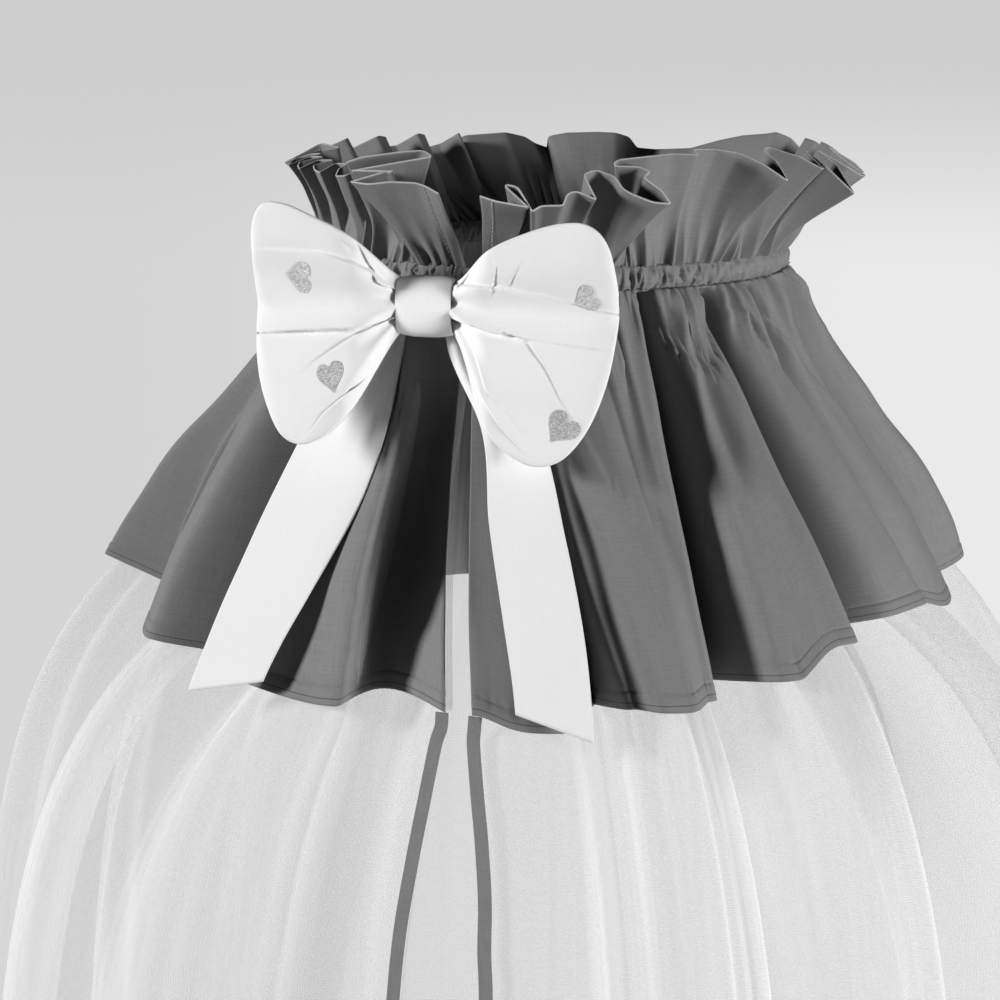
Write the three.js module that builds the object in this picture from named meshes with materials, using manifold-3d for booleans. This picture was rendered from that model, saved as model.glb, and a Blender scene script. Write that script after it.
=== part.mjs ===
// Bed crown canopy: a gathered valance with a ruffled frill and a padded bow on a wire ring,
// a long net drape inside it, and the pole socket that the ring's two legs drop into.
// Millimetres, +Z up. The origin is the centre of the socket spigot's lower end face.
// Turns are degrees round the ring's centre from the front (-Y), growing toward +X.
import * as THREE from 'three';
import { mergeVertices } from 'three/addons/utils/BufferGeometryUtils.js';
import Module from 'manifold-3d';

const wasm = await Module();
wasm.setup();

// Driving dimensions
const ringRadius = 166;        // centre line of the wire ring
const wireRadius = 2.5;
const wireClearance = 0.3;     // under the casing's top, where the cloth hangs on the wire
const seatGap = 0.3;           // between sewn or touching pieces

const spigotLength = 28;       // plug that goes into a tubular pole
const spigotRadius = 6;
const collarRadius = 10;
const collarHeight = 4;
const socketHeight = 18;
const socketWidth = 46;
const socketDepth = 22;
const socketEdge = 1;
const legSpacing = 28;         // between the ring's two legs
const legDepth = 15;           // how far each leg drops into the socket
const legRise = 4;             // straight leg above the socket
const bendRadius = 8;
const filletDepth = 18;        // from the legs forward to the centres of the ring's fillets

const casingHeight = 16;
const casingDepth = 13;
const casingWall = 1.2;
const casingChamfer = 2.4;
const casingPucker = 0.5;
const buttonholeMargin = 1;

const clothThickness = 1.6;    // the valance's turned cotton
const skirtHeight = 270;       // mean height from casing to hem
const skirtFlareWidth = 180;   // widest flare beyond the casing
const netThickness = 1.2;
const netTopInset = 7.6;       // net inside the skirt, at the casing
const netHemInset = 14;        // net inside the skirt, at the hem
const netLength = 1400;        // height of the net drape below the casing
const netHalfWidth = 500;
const netHalfDepth = 405;
const netFoldDepth = 70;

const frillRise = 58;
const frillReach = 47;         // how far the frill leans out at its widest
const frillDepth = 12;         // radial depth of one ruffle
const frillThickness = 1.4;
const frillFootWave = 1.6;

const knotWidth = 38;
const knotHeight = 41;
const knotDepth = 32;
const knotDrop = 20;           // the knot's centre below the ring
const knotEdge = 5;
const wingSpans = { left: 98, right: 108 };
const wingTops = { left: 72, right: 62 };        // above the knot's centre
const wingBottoms = { left: 88, right: 97 };     // below the knot's centre
const wingPad = 12;            // half the thickness of a wing's filling
const wingSeam = 1.2;          // half the thickness of its sewn edge
const wingForward = 11;        // a wing's middle stands this far in front of the knot's centre
const pleatDepth = 5;

const tailWidth = 58;
const tailThickness = 1.6;
const tailGap = 4;             // a tail's clearance over the skirt's ridges
const tieWidth = 9;
const tieThickness = 1.6;

// Folds, counts and turns
const slitTurn = 2.2;           // the slit's middle at the casing
const slitHalfTurn = 1.9;
const knotTurn = -3.4;
const bowTurn = 8;             // the way that the bow faces
const ruffles = 24;
const ruffleSteps = 8;
const foldSteps = 3;           // stations from one ridge to the next valley
const netBackSteps = 2;        // the same in the net's back, between these rows of the folds
const netBackRows = [12, 24];
const ringSteps = 64;
const casingSteps = 72;
const wireSides = 8;

// One row for each ridge or valley, from the slit's right edge round the back to its left edge:
// turn at the casing, turn at the hem, reach as a share of skirtFlareWidth, fall as a share of skirtHeight.
const foldShares = [
  [4.1, 10.8, 0.68, 0.96], [12, 21, 0.73, 0.99], [25, 30, 0.37, 0.99], [34, 37, 0.80, 0.91],
  [43.5, 46, 0.48, 0.95], [52, 53, 0.96, 0.78], [60, 61.5, 0.61, 0.83], [66, 69, 0.76, 0.78],
  [72, 86, 0.63, 0.84], [79, 102, 0.72, 0.89], [87, 109, 0.44, 0.93], [103, 123, 0.94, 0.85],
  [118, 137, 0.33, 1.01], [130, 147, 0.51, 1.00], [141, 156, 0.20, 1.04], [152, 165, 0.39, 1.04],
  [164, 175, 0.17, 1.06], [176, 185, 0.34, 1.05], [188, 195, 0.16, 1.06], [200, 205, 0.38, 1.04],
  [211, 214, 0.18, 1.05], [222, 223, 0.34, 1.07], [232, 232.5, 0.20, 1.04], [242, 242, 0.56, 0.99],
  [251, 251, 0.31, 1.01], [260, 260.5, 0.81, 0.91], [269, 270, 0.49, 0.96], [280, 282.5, 1.00, 0.86],
  [291, 294, 0.49, 1.00], [301, 305, 0.75, 0.98], [312, 317, 0.33, 1.04], [338, 345, 0.64, 0.99],
  [360.3, 367.2, 0.66, 0.96],
];
const knotReachShare = 0.67;   // the skirt's flare behind the knot
const bellShares = [0.035, -0.021];   // how far the skirt bulges over a straight flare
// Heights of the rows of each sheet's grid; the net's pass 1 at the skirt's hem and end at 2.
const skirtRowShares = [0, 0.24, 0.48, 0.74, 1];
const netRowShares = [0, 0.48, 0.74, 1, 1.09, 1.22, 2];
const frillRowShares = [0, 0.5, 1];
const netSlitTurns = [14.5, 363];
// Below the hem the net flares out soon, by one share of its way, and the rest of it evenly.
const netFlareShares = { soon: 0.6, rate: 10 };
const frillLeanShares = { mean: 0.66, swing: 0.36, turn: 78 };
const frillSlitTurns = { right: [4.1, 8.2], left: [360.3, 356.6] };
const ruffleShiftShare = 0.10; // how far a ruffle's crest curls over its foot
const ruffleUnevenShares = [{ swing: 0.3, count: 3, turn: 57.3 }, { swing: 0.2, count: 7, turn: 0 }];

// Places worked out from the driving dimensions
const toRad = THREE.MathUtils.degToRad;
const socketTop = spigotLength + socketHeight;
const ringHeight = socketTop + legRise + bendRadius;
const legX = legSpacing / 2;
const filletX = legX + bendRadius;
const ringCentreY = filletDepth - Math.sqrt((ringRadius - bendRadius) ** 2 - filletX ** 2);
const casingTop = ringHeight + wireRadius + wireClearance + casingWall;
const casingBottom = casingTop - casingHeight;
const skirtTopRadius = ringRadius + casingDepth / 2 - casingChamfer;
const skirtTop = casingBottom - seatGap;
const knotCentreZ = ringHeight - knotDrop;
const bell = (t) => t + bellShares.reduce((sum, share, k) => (
  sum + share * Math.sin((k + 1) * Math.PI * t)), 0);
const knotFootShare = (skirtTop - knotCentreZ + knotHeight / 2) / skirtHeight;
const knotBackRadius = skirtTopRadius + knotReachShare * skirtFlareWidth * bell(knotFootShare)
  + seatGap + (knotWidth / 2 - knotEdge) * Math.sin(toRad(bowTurn - knotTurn));

const lerp = THREE.MathUtils.lerp;
const at = (turn, radius, z) => {
  const angle = toRad(turn);
  return new THREE.Vector3(radius * Math.sin(angle), ringCentreY - radius * Math.cos(angle), z);
};

// Closed solids
function signedVolume(geometry) {
  const p = geometry.attributes.position;
  const index = geometry.index;
  const a = new THREE.Vector3();
  const b = new THREE.Vector3();
  const c = new THREE.Vector3();
  let sum = 0;
  for (let i = 0; i < index.count; i += 3) {
    a.fromBufferAttribute(p, index.getX(i));
    b.fromBufferAttribute(p, index.getX(i + 1));
    c.fromBufferAttribute(p, index.getX(i + 2));
    sum += a.dot(b.cross(c)) / 6;
  }
  return sum;
}

function solidFrom(points, triangles) {
  const geometry = new THREE.BufferGeometry();
  const flat = points.flatMap((v) => [v.x, v.y, v.z]);
  geometry.setAttribute('position', new THREE.Float32BufferAttribute(flat, 3));
  geometry.setIndex(triangles.flat());
  if (signedVolume(geometry) < 0) {
    geometry.setIndex(triangles.flatMap(([a, b, c]) => [a, c, b]));
  }
  return geometry;
}

// A sheet of cloth: two skins over one grid, closed along its four edges.
function sheetSolid(columns, rows, frontSkin, backSkin) {
  const points = [];
  const triangles = [];
  const width = columns + 1;
  const skin = width * (rows + 1);
  for (const surface of [frontSkin, backSkin]) {
    for (let j = 0; j <= rows; j++) {
      for (let i = 0; i <= columns; i++) points.push(surface(i, j));
    }
  }
  const front = (i, j) => j * width + i;
  const back = (i, j) => skin + front(i, j);
  const quad = (a, b, c, d) => triangles.push([a, b, c], [a, c, d]);
  for (let j = 0; j < rows; j++) {
    for (let i = 0; i < columns; i++) {
      quad(front(i, j), front(i + 1, j), front(i + 1, j + 1), front(i, j + 1));
      quad(back(i, j), back(i, j + 1), back(i + 1, j + 1), back(i + 1, j));
    }
    quad(front(0, j), front(0, j + 1), back(0, j + 1), back(0, j));
    quad(front(columns, j), back(columns, j), back(columns, j + 1), front(columns, j + 1));
  }
  for (let i = 0; i < columns; i++) {
    quad(front(i, 0), back(i, 0), back(i + 1, 0), front(i + 1, 0));
    quad(front(i, rows), front(i + 1, rows), back(i + 1, rows), back(i, rows));
  }
  return solidFrom(points, triangles);
}

// A rod through a list of stations, each with its section's two directions.
function rodSolid(stations, sides, radius) {
  const points = [];
  const triangles = [];
  for (const { centre, side, up } of stations) {
    for (let k = 0; k < sides; k++) {
      const angle = 2 * Math.PI * (k + 0.5) / sides;
      points.push(centre.clone()
        .addScaledVector(side, radius * Math.cos(angle))
        .addScaledVector(up, radius * Math.sin(angle)));
    }
  }
  const node = (s, k) => s * sides + (k % sides);
  for (let s = 0; s + 1 < stations.length; s++) {
    for (let k = 0; k < sides; k++) {
      triangles.push([node(s, k), node(s, k + 1), node(s + 1, k + 1)]);
      triangles.push([node(s, k), node(s + 1, k + 1), node(s + 1, k)]);
    }
  }
  const last = stations.length - 1;
  for (let k = 1; k + 1 < sides; k++) {
    triangles.push([node(0, 0), node(0, k + 1), node(0, k)]);
    triangles.push([node(last, 0), node(last, k), node(last, k + 1)]);
  }
  return solidFrom(points, triangles);
}

// Booleans
function toManifold(geometry) {
  const bare = geometry.clone();
  bare.deleteAttribute('normal');
  bare.deleteAttribute('uv');
  const merged = mergeVertices(bare);
  return new wasm.Manifold(new wasm.Mesh({
    numProp: 3,
    vertProperties: new Float32Array(merged.attributes.position.array),
    triVerts: new Uint32Array(merged.index.array),
  }));
}

function fromManifold(solid) {
  const mesh = solid.getMesh();
  const geometry = new THREE.BufferGeometry();
  geometry.setAttribute('position', new THREE.Float32BufferAttribute(mesh.vertProperties, 3));
  geometry.setIndex([...mesh.triVerts]);
  return geometry;
}

// Folds of the valance, shared by the skirt and the net
const foldColumns = (foldShares.length - 1) * foldSteps;
const netColumns = foldShares.slice(1).flatMap((_, row) => {
  const steps = row >= netBackRows[0] && row < netBackRows[1] ? netBackSteps : foldSteps;
  return Array.from({ length: steps }, (_, k) => (row + k / steps) * foldSteps);
}).concat(foldColumns);

function foldAt(column) {
  const row = Math.min(Math.floor(column / foldSteps), foldShares.length - 2);
  const part = column / foldSteps - row;
  const ease = (1 - Math.cos(Math.PI * part)) / 2;
  const [topTurn, hemTurn, reachShare, fallShare] = foldShares[row].map((value, k) => (
    lerp(value, foldShares[row + 1][k], k < 2 ? part : ease)));
  return { topTurn, hemTurn, reach: reachShare * skirtFlareWidth, fall: fallShare * skirtHeight, reachShare };
}

function skirtPoint(column, t, inset) {
  const fold = foldAt(column);
  const radius = skirtTopRadius + fold.reach * bell(t) - inset;
  return at(lerp(fold.topTurn, fold.hemTurn, t), radius, skirtTop - fold.fall * t);
}

function netPoint(column, share, inset) {
  if (share <= 1) return skirtPoint(column, share, lerp(netTopInset, netHemInset, share) + inset);
  const s = share - 1;
  const fold = foldAt(column);
  const slide = lerp(s, 1 - Math.exp(-netFlareShares.rate * s), netFlareShares.soon);
  const first = foldShares[0][1];
  const last = foldShares[foldShares.length - 1][1];
  const lowTurn = THREE.MathUtils.mapLinear(fold.hemTurn, first, last, ...netSlitTurns);
  const angle = toRad(lowTurn);
  const oval = 1 / Math.hypot(Math.sin(angle) / netHalfWidth, Math.cos(angle) / netHalfDepth);
  const hemRadius = skirtTopRadius + fold.reach - netHemInset;
  const lowRadius = oval + netFoldDepth * (fold.reachShare - 0.5);
  const z = lerp(skirtTop - fold.fall, skirtTop - netLength, s);
  return at(lerp(fold.hemTurn, lowTurn, slide), lerp(hemRadius, lowRadius, slide) - inset, z);
}

function valanceSkirt() {
  return sheetSolid(foldColumns, skirtRowShares.length - 1,
    (i, j) => skirtPoint(i, skirtRowShares[j], 0),
    (i, j) => skirtPoint(i, skirtRowShares[j], clothThickness));
}

function tulleDrape() {
  return sheetSolid(netColumns.length - 1, netRowShares.length - 1,
    (i, j) => netPoint(netColumns[i], netRowShares[j], 0),
    (i, j) => netPoint(netColumns[i], netRowShares[j], netThickness));
}

// The frill stands on the casing and leans outward, further on the right than on the left.
function frillPoint(column, t, inset) {
  const share = column / (ruffles * ruffleSteps);
  const turn = lerp(lerp(frillSlitTurns.right[0], frillSlitTurns.right[1], t),
    lerp(frillSlitTurns.left[0], frillSlitTurns.left[1], t), share);
  const wave = 2 * Math.PI * ruffles * share;
  const lean = frillLeanShares.mean
    + frillLeanShares.swing * Math.cos(toRad(turn - frillLeanShares.turn));
  const uneven = ruffleUnevenShares.reduce((sum, part) => (
    sum + part.swing * Math.cos(toRad(part.count * turn + part.turn))), 1);
  const reach = frillReach * lean;
  const depth = lerp(frillFootWave, frillDepth * uneven, t);
  const shift = ruffleShiftShare * (360 / ruffles) * t * Math.sin(2 * wave);
  return at(turn - shift, ringRadius + reach * t + depth * Math.cos(wave) - inset,
    casingTop + seatGap + frillRise * t);
}

function frill() {
  return sheetSolid(ruffles * ruffleSteps, frillRowShares.length - 1,
    (i, j) => frillPoint(i, frillRowShares[j], 0),
    (i, j) => frillPoint(i, frillRowShares[j], frillThickness));
}

// The casing: a chamfered sleeve round the wire, open at the slit, with a buttonhole behind.
function casingSection(halfDepth, halfHeight, chamfer) {
  return [
    [halfDepth, -halfHeight + chamfer], [halfDepth, halfHeight - chamfer],
    [halfDepth - chamfer, halfHeight], [-halfDepth + chamfer, halfHeight],
    [-halfDepth, halfHeight - chamfer], [-halfDepth, -halfHeight + chamfer],
    [-halfDepth + chamfer, -halfHeight], [halfDepth - chamfer, -halfHeight],
  ];
}

function gatheredCasing() {
  const outer = casingSection(casingDepth / 2, casingHeight / 2, casingChamfer);
  const inner = casingSection(casingDepth / 2 - casingWall, casingHeight / 2 - casingWall,
    casingChamfer - casingWall / 2);
  const sides = outer.length;
  const centreZ = casingTop - casingHeight / 2;
  const points = [];
  const triangles = [];
  for (let s = 0; s <= casingSteps; s++) {
    const turn = slitTurn + lerp(slitHalfTurn, 360 - slitHalfTurn, s / casingSteps);
    const pucker = s % 2 === 0 ? 0 : casingPucker;
    for (const [x, z] of outer) points.push(at(turn, ringRadius + x + Math.sign(x) * pucker, centreZ + z));
    for (const [x, z] of inner) points.push(at(turn, ringRadius + x, centreZ + z));
  }
  const outside = (s, k) => s * 2 * sides + (k % sides);
  const inside = (s, k) => outside(s, k) + sides;
  const quad = (a, b, c, d) => triangles.push([a, b, c], [a, c, d]);
  for (let k = 0; k < sides; k++) {
    for (let s = 0; s < casingSteps; s++) {
      quad(outside(s, k), outside(s + 1, k), outside(s + 1, k + 1), outside(s, k + 1));
      quad(inside(s, k), inside(s, k + 1), inside(s + 1, k + 1), inside(s + 1, k));
    }
    quad(outside(0, k), outside(0, k + 1), inside(0, k + 1), inside(0, k));
    quad(outside(casingSteps, k), inside(casingSteps, k),
      inside(casingSteps, k + 1), outside(casingSteps, k + 1));
  }
  const width = 2 * (filletX + buttonholeMargin);
  const height = 2 * (wireRadius + buttonholeMargin) - 2 * seatGap;
  const buttonhole = new THREE.BoxGeometry(width, casingDepth, height);
  buttonhole.translate(0, ringCentreY + ringRadius - wireRadius - casingDepth / 2,
    ringHeight - seatGap);
  return fromManifold(toManifold(solidFrom(points, triangles)).subtract(toManifold(buttonhole)));
}

// The ring: one wire, up from the socket, outward, and round from one leg to the other.
function supportRing() {
  const stations = [];
  const push = (centre, heading, up) => stations.push({
    centre, up: up.clone(), side: heading.clone().cross(up).normalize(),
  });
  const half = [];
  const legFoot = socketTop - legDepth + wireClearance;
  const forward = new THREE.Vector3(0, 1, 0);
  const upward = new THREE.Vector3(0, 0, 1);
  half.push([new THREE.Vector3(-legX, 0, legFoot), upward, forward.clone().negate()]);
  const bendSteps = 4;
  for (let k = 0; k <= bendSteps; k++) {
    const angle = Math.PI / 2 * k / bendSteps;
    const heading = new THREE.Vector3(0, Math.sin(angle), Math.cos(angle));
    const up = new THREE.Vector3(0, -Math.cos(angle), Math.sin(angle));
    half.push([new THREE.Vector3(-legX, bendRadius * (1 - Math.cos(angle)),
      ringHeight - bendRadius + bendRadius * Math.sin(angle)), heading, up]);
  }
  const joinAngle = Math.asin(filletX / (ringRadius - bendRadius));
  const filletSteps = 4;
  for (let k = 0; k <= filletSteps; k++) {
    const angle = (Math.PI / 2 + joinAngle) * k / filletSteps;
    half.push([new THREE.Vector3(-filletX + bendRadius * Math.cos(angle),
      filletDepth + bendRadius * Math.sin(angle), ringHeight),
    new THREE.Vector3(-Math.sin(angle), Math.cos(angle), 0), upward]);
  }
  for (const [centre, heading, up] of half) push(centre, heading, up);
  const startTurn = 180 + THREE.MathUtils.radToDeg(joinAngle);
  const endTurn = 540 - THREE.MathUtils.radToDeg(joinAngle);
  for (let k = 1; k < ringSteps; k++) {
    const turn = lerp(startTurn, endTurn, k / ringSteps);
    const angle = toRad(turn);
    push(at(turn, ringRadius, ringHeight), new THREE.Vector3(Math.cos(angle), Math.sin(angle), 0), upward);
  }
  for (const [centre, heading, up] of half.reverse()) {
    push(new THREE.Vector3(-centre.x, centre.y, centre.z),
      new THREE.Vector3(heading.x, -heading.y, -heading.z), up);
  }
  return rodSolid(stations, wireSides, wireRadius);
}

// The socket: a moulded block with two leg holes, over a collar and a turned spigot.
function poleSocket() {
  const halfW = socketWidth / 2 - socketDepth / 2;
  const corner = socketDepth / 2 - socketEdge;
  const outline = new THREE.Shape();
  outline.absarc(halfW, 0, corner, -Math.PI / 2, Math.PI / 2, false);
  outline.absarc(-halfW, 0, corner, Math.PI / 2, 3 * Math.PI / 2, false);
  const block = new THREE.ExtrudeGeometry(outline, {
    depth: socketHeight - 2 * socketEdge, bevelThickness: socketEdge, bevelSize: socketEdge,
    bevelSegments: 2, curveSegments: 12,
  });
  block.translate(0, 0, spigotLength + socketEdge);
  const profile = [
    [0, 0], [spigotRadius - socketEdge, 0], [spigotRadius, socketEdge],
    [spigotRadius, spigotLength - collarHeight - socketEdge],
    [collarRadius - socketEdge, spigotLength - collarHeight],
    [collarRadius, spigotLength - collarHeight + socketEdge],
    [collarRadius, spigotLength + socketEdge], [0, spigotLength + socketEdge],
  ].map(([x, y]) => new THREE.Vector2(x, y));
  const spigot = new THREE.LatheGeometry(profile, 32);
  spigot.rotateX(Math.PI / 2);
  let solid = toManifold(block).add(toManifold(spigot));
  for (const side of [-1, 1]) {
    const hole = new THREE.CylinderGeometry(wireRadius + wireClearance, wireRadius + wireClearance,
      legDepth + socketEdge, 24);
    hole.rotateX(Math.PI / 2);
    hole.translate(side * legX, 0, socketTop - legDepth + (legDepth + socketEdge) / 2);
    solid = solid.subtract(toManifold(hole));
  }
  return fromManifold(solid);
}

// The bow's own frame: right, outward and up, about the knot's centre.
const bowRight = new THREE.Vector3(Math.cos(toRad(bowTurn)), Math.sin(toRad(bowTurn)), 0);
const bowOut = new THREE.Vector3(Math.sin(toRad(bowTurn)), -Math.cos(toRad(bowTurn)), 0);
const knotCentre = at(knotTurn, knotBackRadius + knotDepth / 2, knotCentreZ);
const bowPoint = (x, out, z) => knotCentre.clone()
  .addScaledVector(bowRight, x).addScaledVector(bowOut, out)
  .add(new THREE.Vector3(0, 0, z));

function bowKnot() {
  const halfW = knotWidth / 2 - knotEdge;
  const halfD = knotDepth / 2 - knotEdge;
  const outline = new THREE.Shape();
  outline.absarc(halfW, halfD, knotEdge, 0, Math.PI / 2, false);
  outline.absarc(-halfW, halfD, knotEdge, Math.PI / 2, Math.PI, false);
  outline.absarc(-halfW, -halfD, knotEdge, Math.PI, 3 * Math.PI / 2, false);
  outline.absarc(halfW, -halfD, knotEdge, 3 * Math.PI / 2, 2 * Math.PI, false);
  const knot = new THREE.ExtrudeGeometry(outline, {
    depth: knotHeight - knotEdge, bevelThickness: knotEdge / 2, bevelSize: 0,
    bevelOffset: 0, bevelSegments: 1, curveSegments: 4,
  });
  knot.translate(0, 0, -(knotHeight - knotEdge) / 2);
  knot.rotateZ(toRad(bowTurn));
  knot.translate(knotCentre.x, knotCentre.y, knotCentre.z);
  return knot;
}

// A wing's upper and lower outline from the knot outward, as shares of wingTop and wingBottom.
const wingTopShares = [0.26, 0.66, 0.85, 0.97, 0.97, 0.76, 0.25];
const wingBottomShares = [0.20, 0.76, 0.98, 0.95, 0.66, 0.28, -0.10];
const wingLeanShare = 0.44;    // how far a wing leans outward above and below the knot
const wingRampShare = 0.2;     // the part of its span in which it comes forward from the knot
const wingPadShares = [0.25, 1];   // where the filling's swell starts and ends, in half waves
const wingRim = 6;             // power of the rounding at its outer edge
const pleatWaves = 1.5;
const shareAlong = (shares, a) => {
  const curve = new THREE.SplineCurve(shares.map((v, k) => new THREE.Vector2(k / (shares.length - 1), v)));
  return curve.getPoint(a).y;
};

function bowWing(name) {
  const side = name === 'left' ? -1 : 1;
  const columns = 14;
  const rows = 10;
  const start = knotWidth / 2 + seatGap;
  const skin = (face) => (i, j) => {
    const a = i / columns;
    const b = 2 * j / rows - 1;
    const x = start + wingSpans[name] * Math.sin(a * Math.PI / 2);
    const high = wingTops[name] * shareAlong(wingTopShares, a);
    const low = -wingBottoms[name] * shareAlong(wingBottomShares, a);
    const z = lerp(low, high, (b + 1) / 2);
    const ramp = Math.sin(Math.min(1, a / wingRampShare) * Math.PI / 2);
    const lean = (wingLeanShare * Math.abs(z) + wingForward) * ramp;
    const edge = Math.sqrt(Math.max(0, 1 - b * b)) * Math.sqrt(Math.max(0, 1 - a ** wingRim));
    const pleats = pleatDepth * (1 - a) * Math.cos(pleatWaves * 2 * Math.PI * b) * edge;
    const pad = wingSeam + (wingPad * Math.sin(Math.PI * lerp(...wingPadShares, a)) + pleats) * edge;
    return bowPoint(side * x, lean + face * Math.max(pad, wingSeam), z);
  };
  return sheetSolid(columns, rows, skin(1), skin(-1));
}

// A tail hangs from the knot's foot over the skirt, facing forward as the bow does.
const tailTurns = { left: [-9, -18, -22, -24, -25.5], right: [4, 11.5, 14.5, 18, 21] };
const tailFaceTurns = { left: 4, right: 8 };
const tailReachShares = { left: 0.77, right: 0.78 };
const tailFallShares = { left: 0.965, right: 0.965 };
const tailTopShare = 0.55;     // its width where the knot gathers it
const tailFlareShare = 1 / 3;  // the part of its length in which it opens to its full width

function bowTail(name) {
  const rows = 10;
  const columns = 2;
  const turns = new THREE.CatmullRomCurve3(tailTurns[name].map((turn) => new THREE.Vector3(turn)));
  const faceAngle = toRad(tailFaceTurns[name]);
  const across = new THREE.Vector3(Math.cos(faceAngle), Math.sin(faceAngle), 0);
  const topZ = knotCentreZ - knotHeight / 2 - seatGap;
  const startShare = (skirtTop - topZ) / skirtHeight;
  const skin = (inset) => (i, j) => {
    const t = j / rows;
    const fallShare = lerp(startShare, tailFallShares[name], t);
    const radius = skirtTopRadius + tailGap + clothThickness
      + tailReachShares[name] * skirtFlareWidth * bell(fallShare) - inset;
    const width = tailWidth * lerp(tailTopShare, 1, Math.min(1, t / tailFlareShare));
    return at(turns.getPoint(t).x, radius, skirtTop - fallShare * skirtHeight)
      .addScaledVector(across, (i / columns - 0.5) * width);
  };
  return sheetSolid(columns, rows, skin(0), skin(tailThickness));
}

// A tie's route, from the hem's corner down over the net.
const tieRoutes = {
  left: [
    [33, -424.6, -214.2], [33, -426.5, -224], [31.3, -432, -234.8], [31, -450.3, -267.3],
    [29, -465.3, -303.3], [26.4, -479, -345.8], [26, -490.5, -391], [26, -503, -460],
    [25, -512, -530], [24, -519, -600], [23, -526.5, -700], [22, -533, -805],
  ],
  right: [
    [56.5, -424.9, -214.5], [56, -425.8, -224], [57.5, -430.4, -232.7], [66.2, -445.6, -258.8],
    [74.6, -458.6, -286.5], [81.8, -470.7, -321], [85, -479.5, -351], [89, -487, -383],
    [92, -500, -455], [95, -508, -520], [99, -515, -600], [104, -521, -700],
    [110, -527, -805],
  ],
};

function tie(name) {
  const rows = 28;
  const route = new THREE.CatmullRomCurve3(tieRoutes[name].map((p) => new THREE.Vector3(...p)));
  const skin = (side) => (i, j) => {
    const centre = route.getPointAt(j / rows);
    const tangent = route.getTangentAt(j / rows);
    const out = new THREE.Vector3(centre.x, centre.y - ringCentreY, 0).normalize();
    const across = tangent.clone().cross(out).normalize();
    const face = across.clone().cross(tangent).normalize();
    return centre.addScaledVector(across, (i - 0.5) * tieWidth)
      .addScaledVector(face, side * tieThickness / 2);
  };
  return sheetSolid(1, rows, skin(1), skin(-1));
}

const materials = {
  cotton: { color: 0x55575a, roughness: 0.9, metalness: 0 },
  net: { color: 0xf1f1f1, roughness: 0.8, metalness: 0 },
  white: { color: 0xf2f2f2, roughness: 0.85, metalness: 0 },
  wire: { color: 0xe6e6e6, roughness: 0.45, metalness: 0.2 },
  plastic: { color: 0xe9e9e7, roughness: 0.4, metalness: 0 },
};

const model = new THREE.Group();
function add(name, geometry, finish) {
  const mesh = new THREE.Mesh(geometry, new THREE.MeshStandardMaterial(materials[finish]));
  mesh.name = name;
  model.add(mesh);
}

add('pole_socket', poleSocket(), 'plastic');
add('support_ring', supportRing(), 'wire');
add('gathered_casing', gatheredCasing(), 'cotton');
add('frill', frill(), 'cotton');
add('valance_skirt', valanceSkirt(), 'cotton');
add('tulle_drape', tulleDrape(), 'net');
add('bow_knot', bowKnot(), 'white');
add('bow_wing_left', bowWing('left'), 'white');
add('bow_wing_right', bowWing('right'), 'white');
add('bow_tail_left', bowTail('left'), 'white');
add('bow_tail_right', bowTail('right'), 'white');
add('tie_left', tie('left'), 'cotton');
add('tie_right', tie('right'), 'cotton');

export default model;
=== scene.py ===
import math

import bmesh
import bpy
from mathutils import Matrix, Vector, noise


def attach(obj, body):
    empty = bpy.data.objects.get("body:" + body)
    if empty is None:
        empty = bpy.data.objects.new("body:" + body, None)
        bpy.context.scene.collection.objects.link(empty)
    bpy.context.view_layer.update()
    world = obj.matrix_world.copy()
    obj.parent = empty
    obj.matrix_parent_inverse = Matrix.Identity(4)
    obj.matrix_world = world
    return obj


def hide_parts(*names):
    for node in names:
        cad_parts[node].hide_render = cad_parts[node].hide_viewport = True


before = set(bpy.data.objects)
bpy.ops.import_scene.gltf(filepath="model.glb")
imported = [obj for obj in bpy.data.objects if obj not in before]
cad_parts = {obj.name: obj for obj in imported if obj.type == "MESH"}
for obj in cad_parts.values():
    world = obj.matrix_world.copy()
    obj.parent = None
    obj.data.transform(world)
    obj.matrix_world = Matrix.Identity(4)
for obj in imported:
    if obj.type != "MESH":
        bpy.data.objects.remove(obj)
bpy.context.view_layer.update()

# Lengths in the shape tables are in millimetres, and turns in degrees round the ring from the front.
millimetre = 0.001


def lerp(a, b, share):
    return a + (b - a) * share


def clamp(value, low=0.0, high=1.0):
    return max(low, min(high, value))


def ease(share):
    return share * share * (3 - 2 * share)


def rise(value, start, end):
    return ease(clamp((value - start) / (end - start)))


def bump(distance, width):
    return math.exp(-(distance / width) ** 2)


def splineAt(values, share):
    place = clamp(share) * (len(values) - 1)
    k = min(int(place), len(values) - 2)
    t = place - k
    a = values[max(k - 1, 0)]
    b = values[k]
    c = values[k + 1]
    d = values[min(k + 2, len(values) - 1)]
    return b + 0.5 * t * (c - a + t * (2 * a - 5 * b + 4 * c - d + t * (3 * (b - c) + d - a)))


ring = {"centreY": -138.46, "radius": 166.0, "casingTop": 62.0, "skirtRadius": 170.1, "skirtTop": 45.7}


def at(turn, radius, z):
    angle = math.radians(turn)
    return Vector((radius * math.sin(angle), ring["centreY"] - radius * math.cos(angle), z))


def outwardAt(point):
    return Vector((point.x, point.y - ring["centreY"], 0.0)).normalized()


# A rounded square wave: the cosine or sine of a turn, filled out towards a box by a power under 1.
def squared(value, power):
    return math.copysign(abs(value) ** power, value)


# A sheet or pad from a grid: place gets the column and row as numbers and gives millimetres, and cloth is
# the flat cloth's width and height in metres. A closed piece has its two side edges sewn together.
sewDistance = 0.00001


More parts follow.
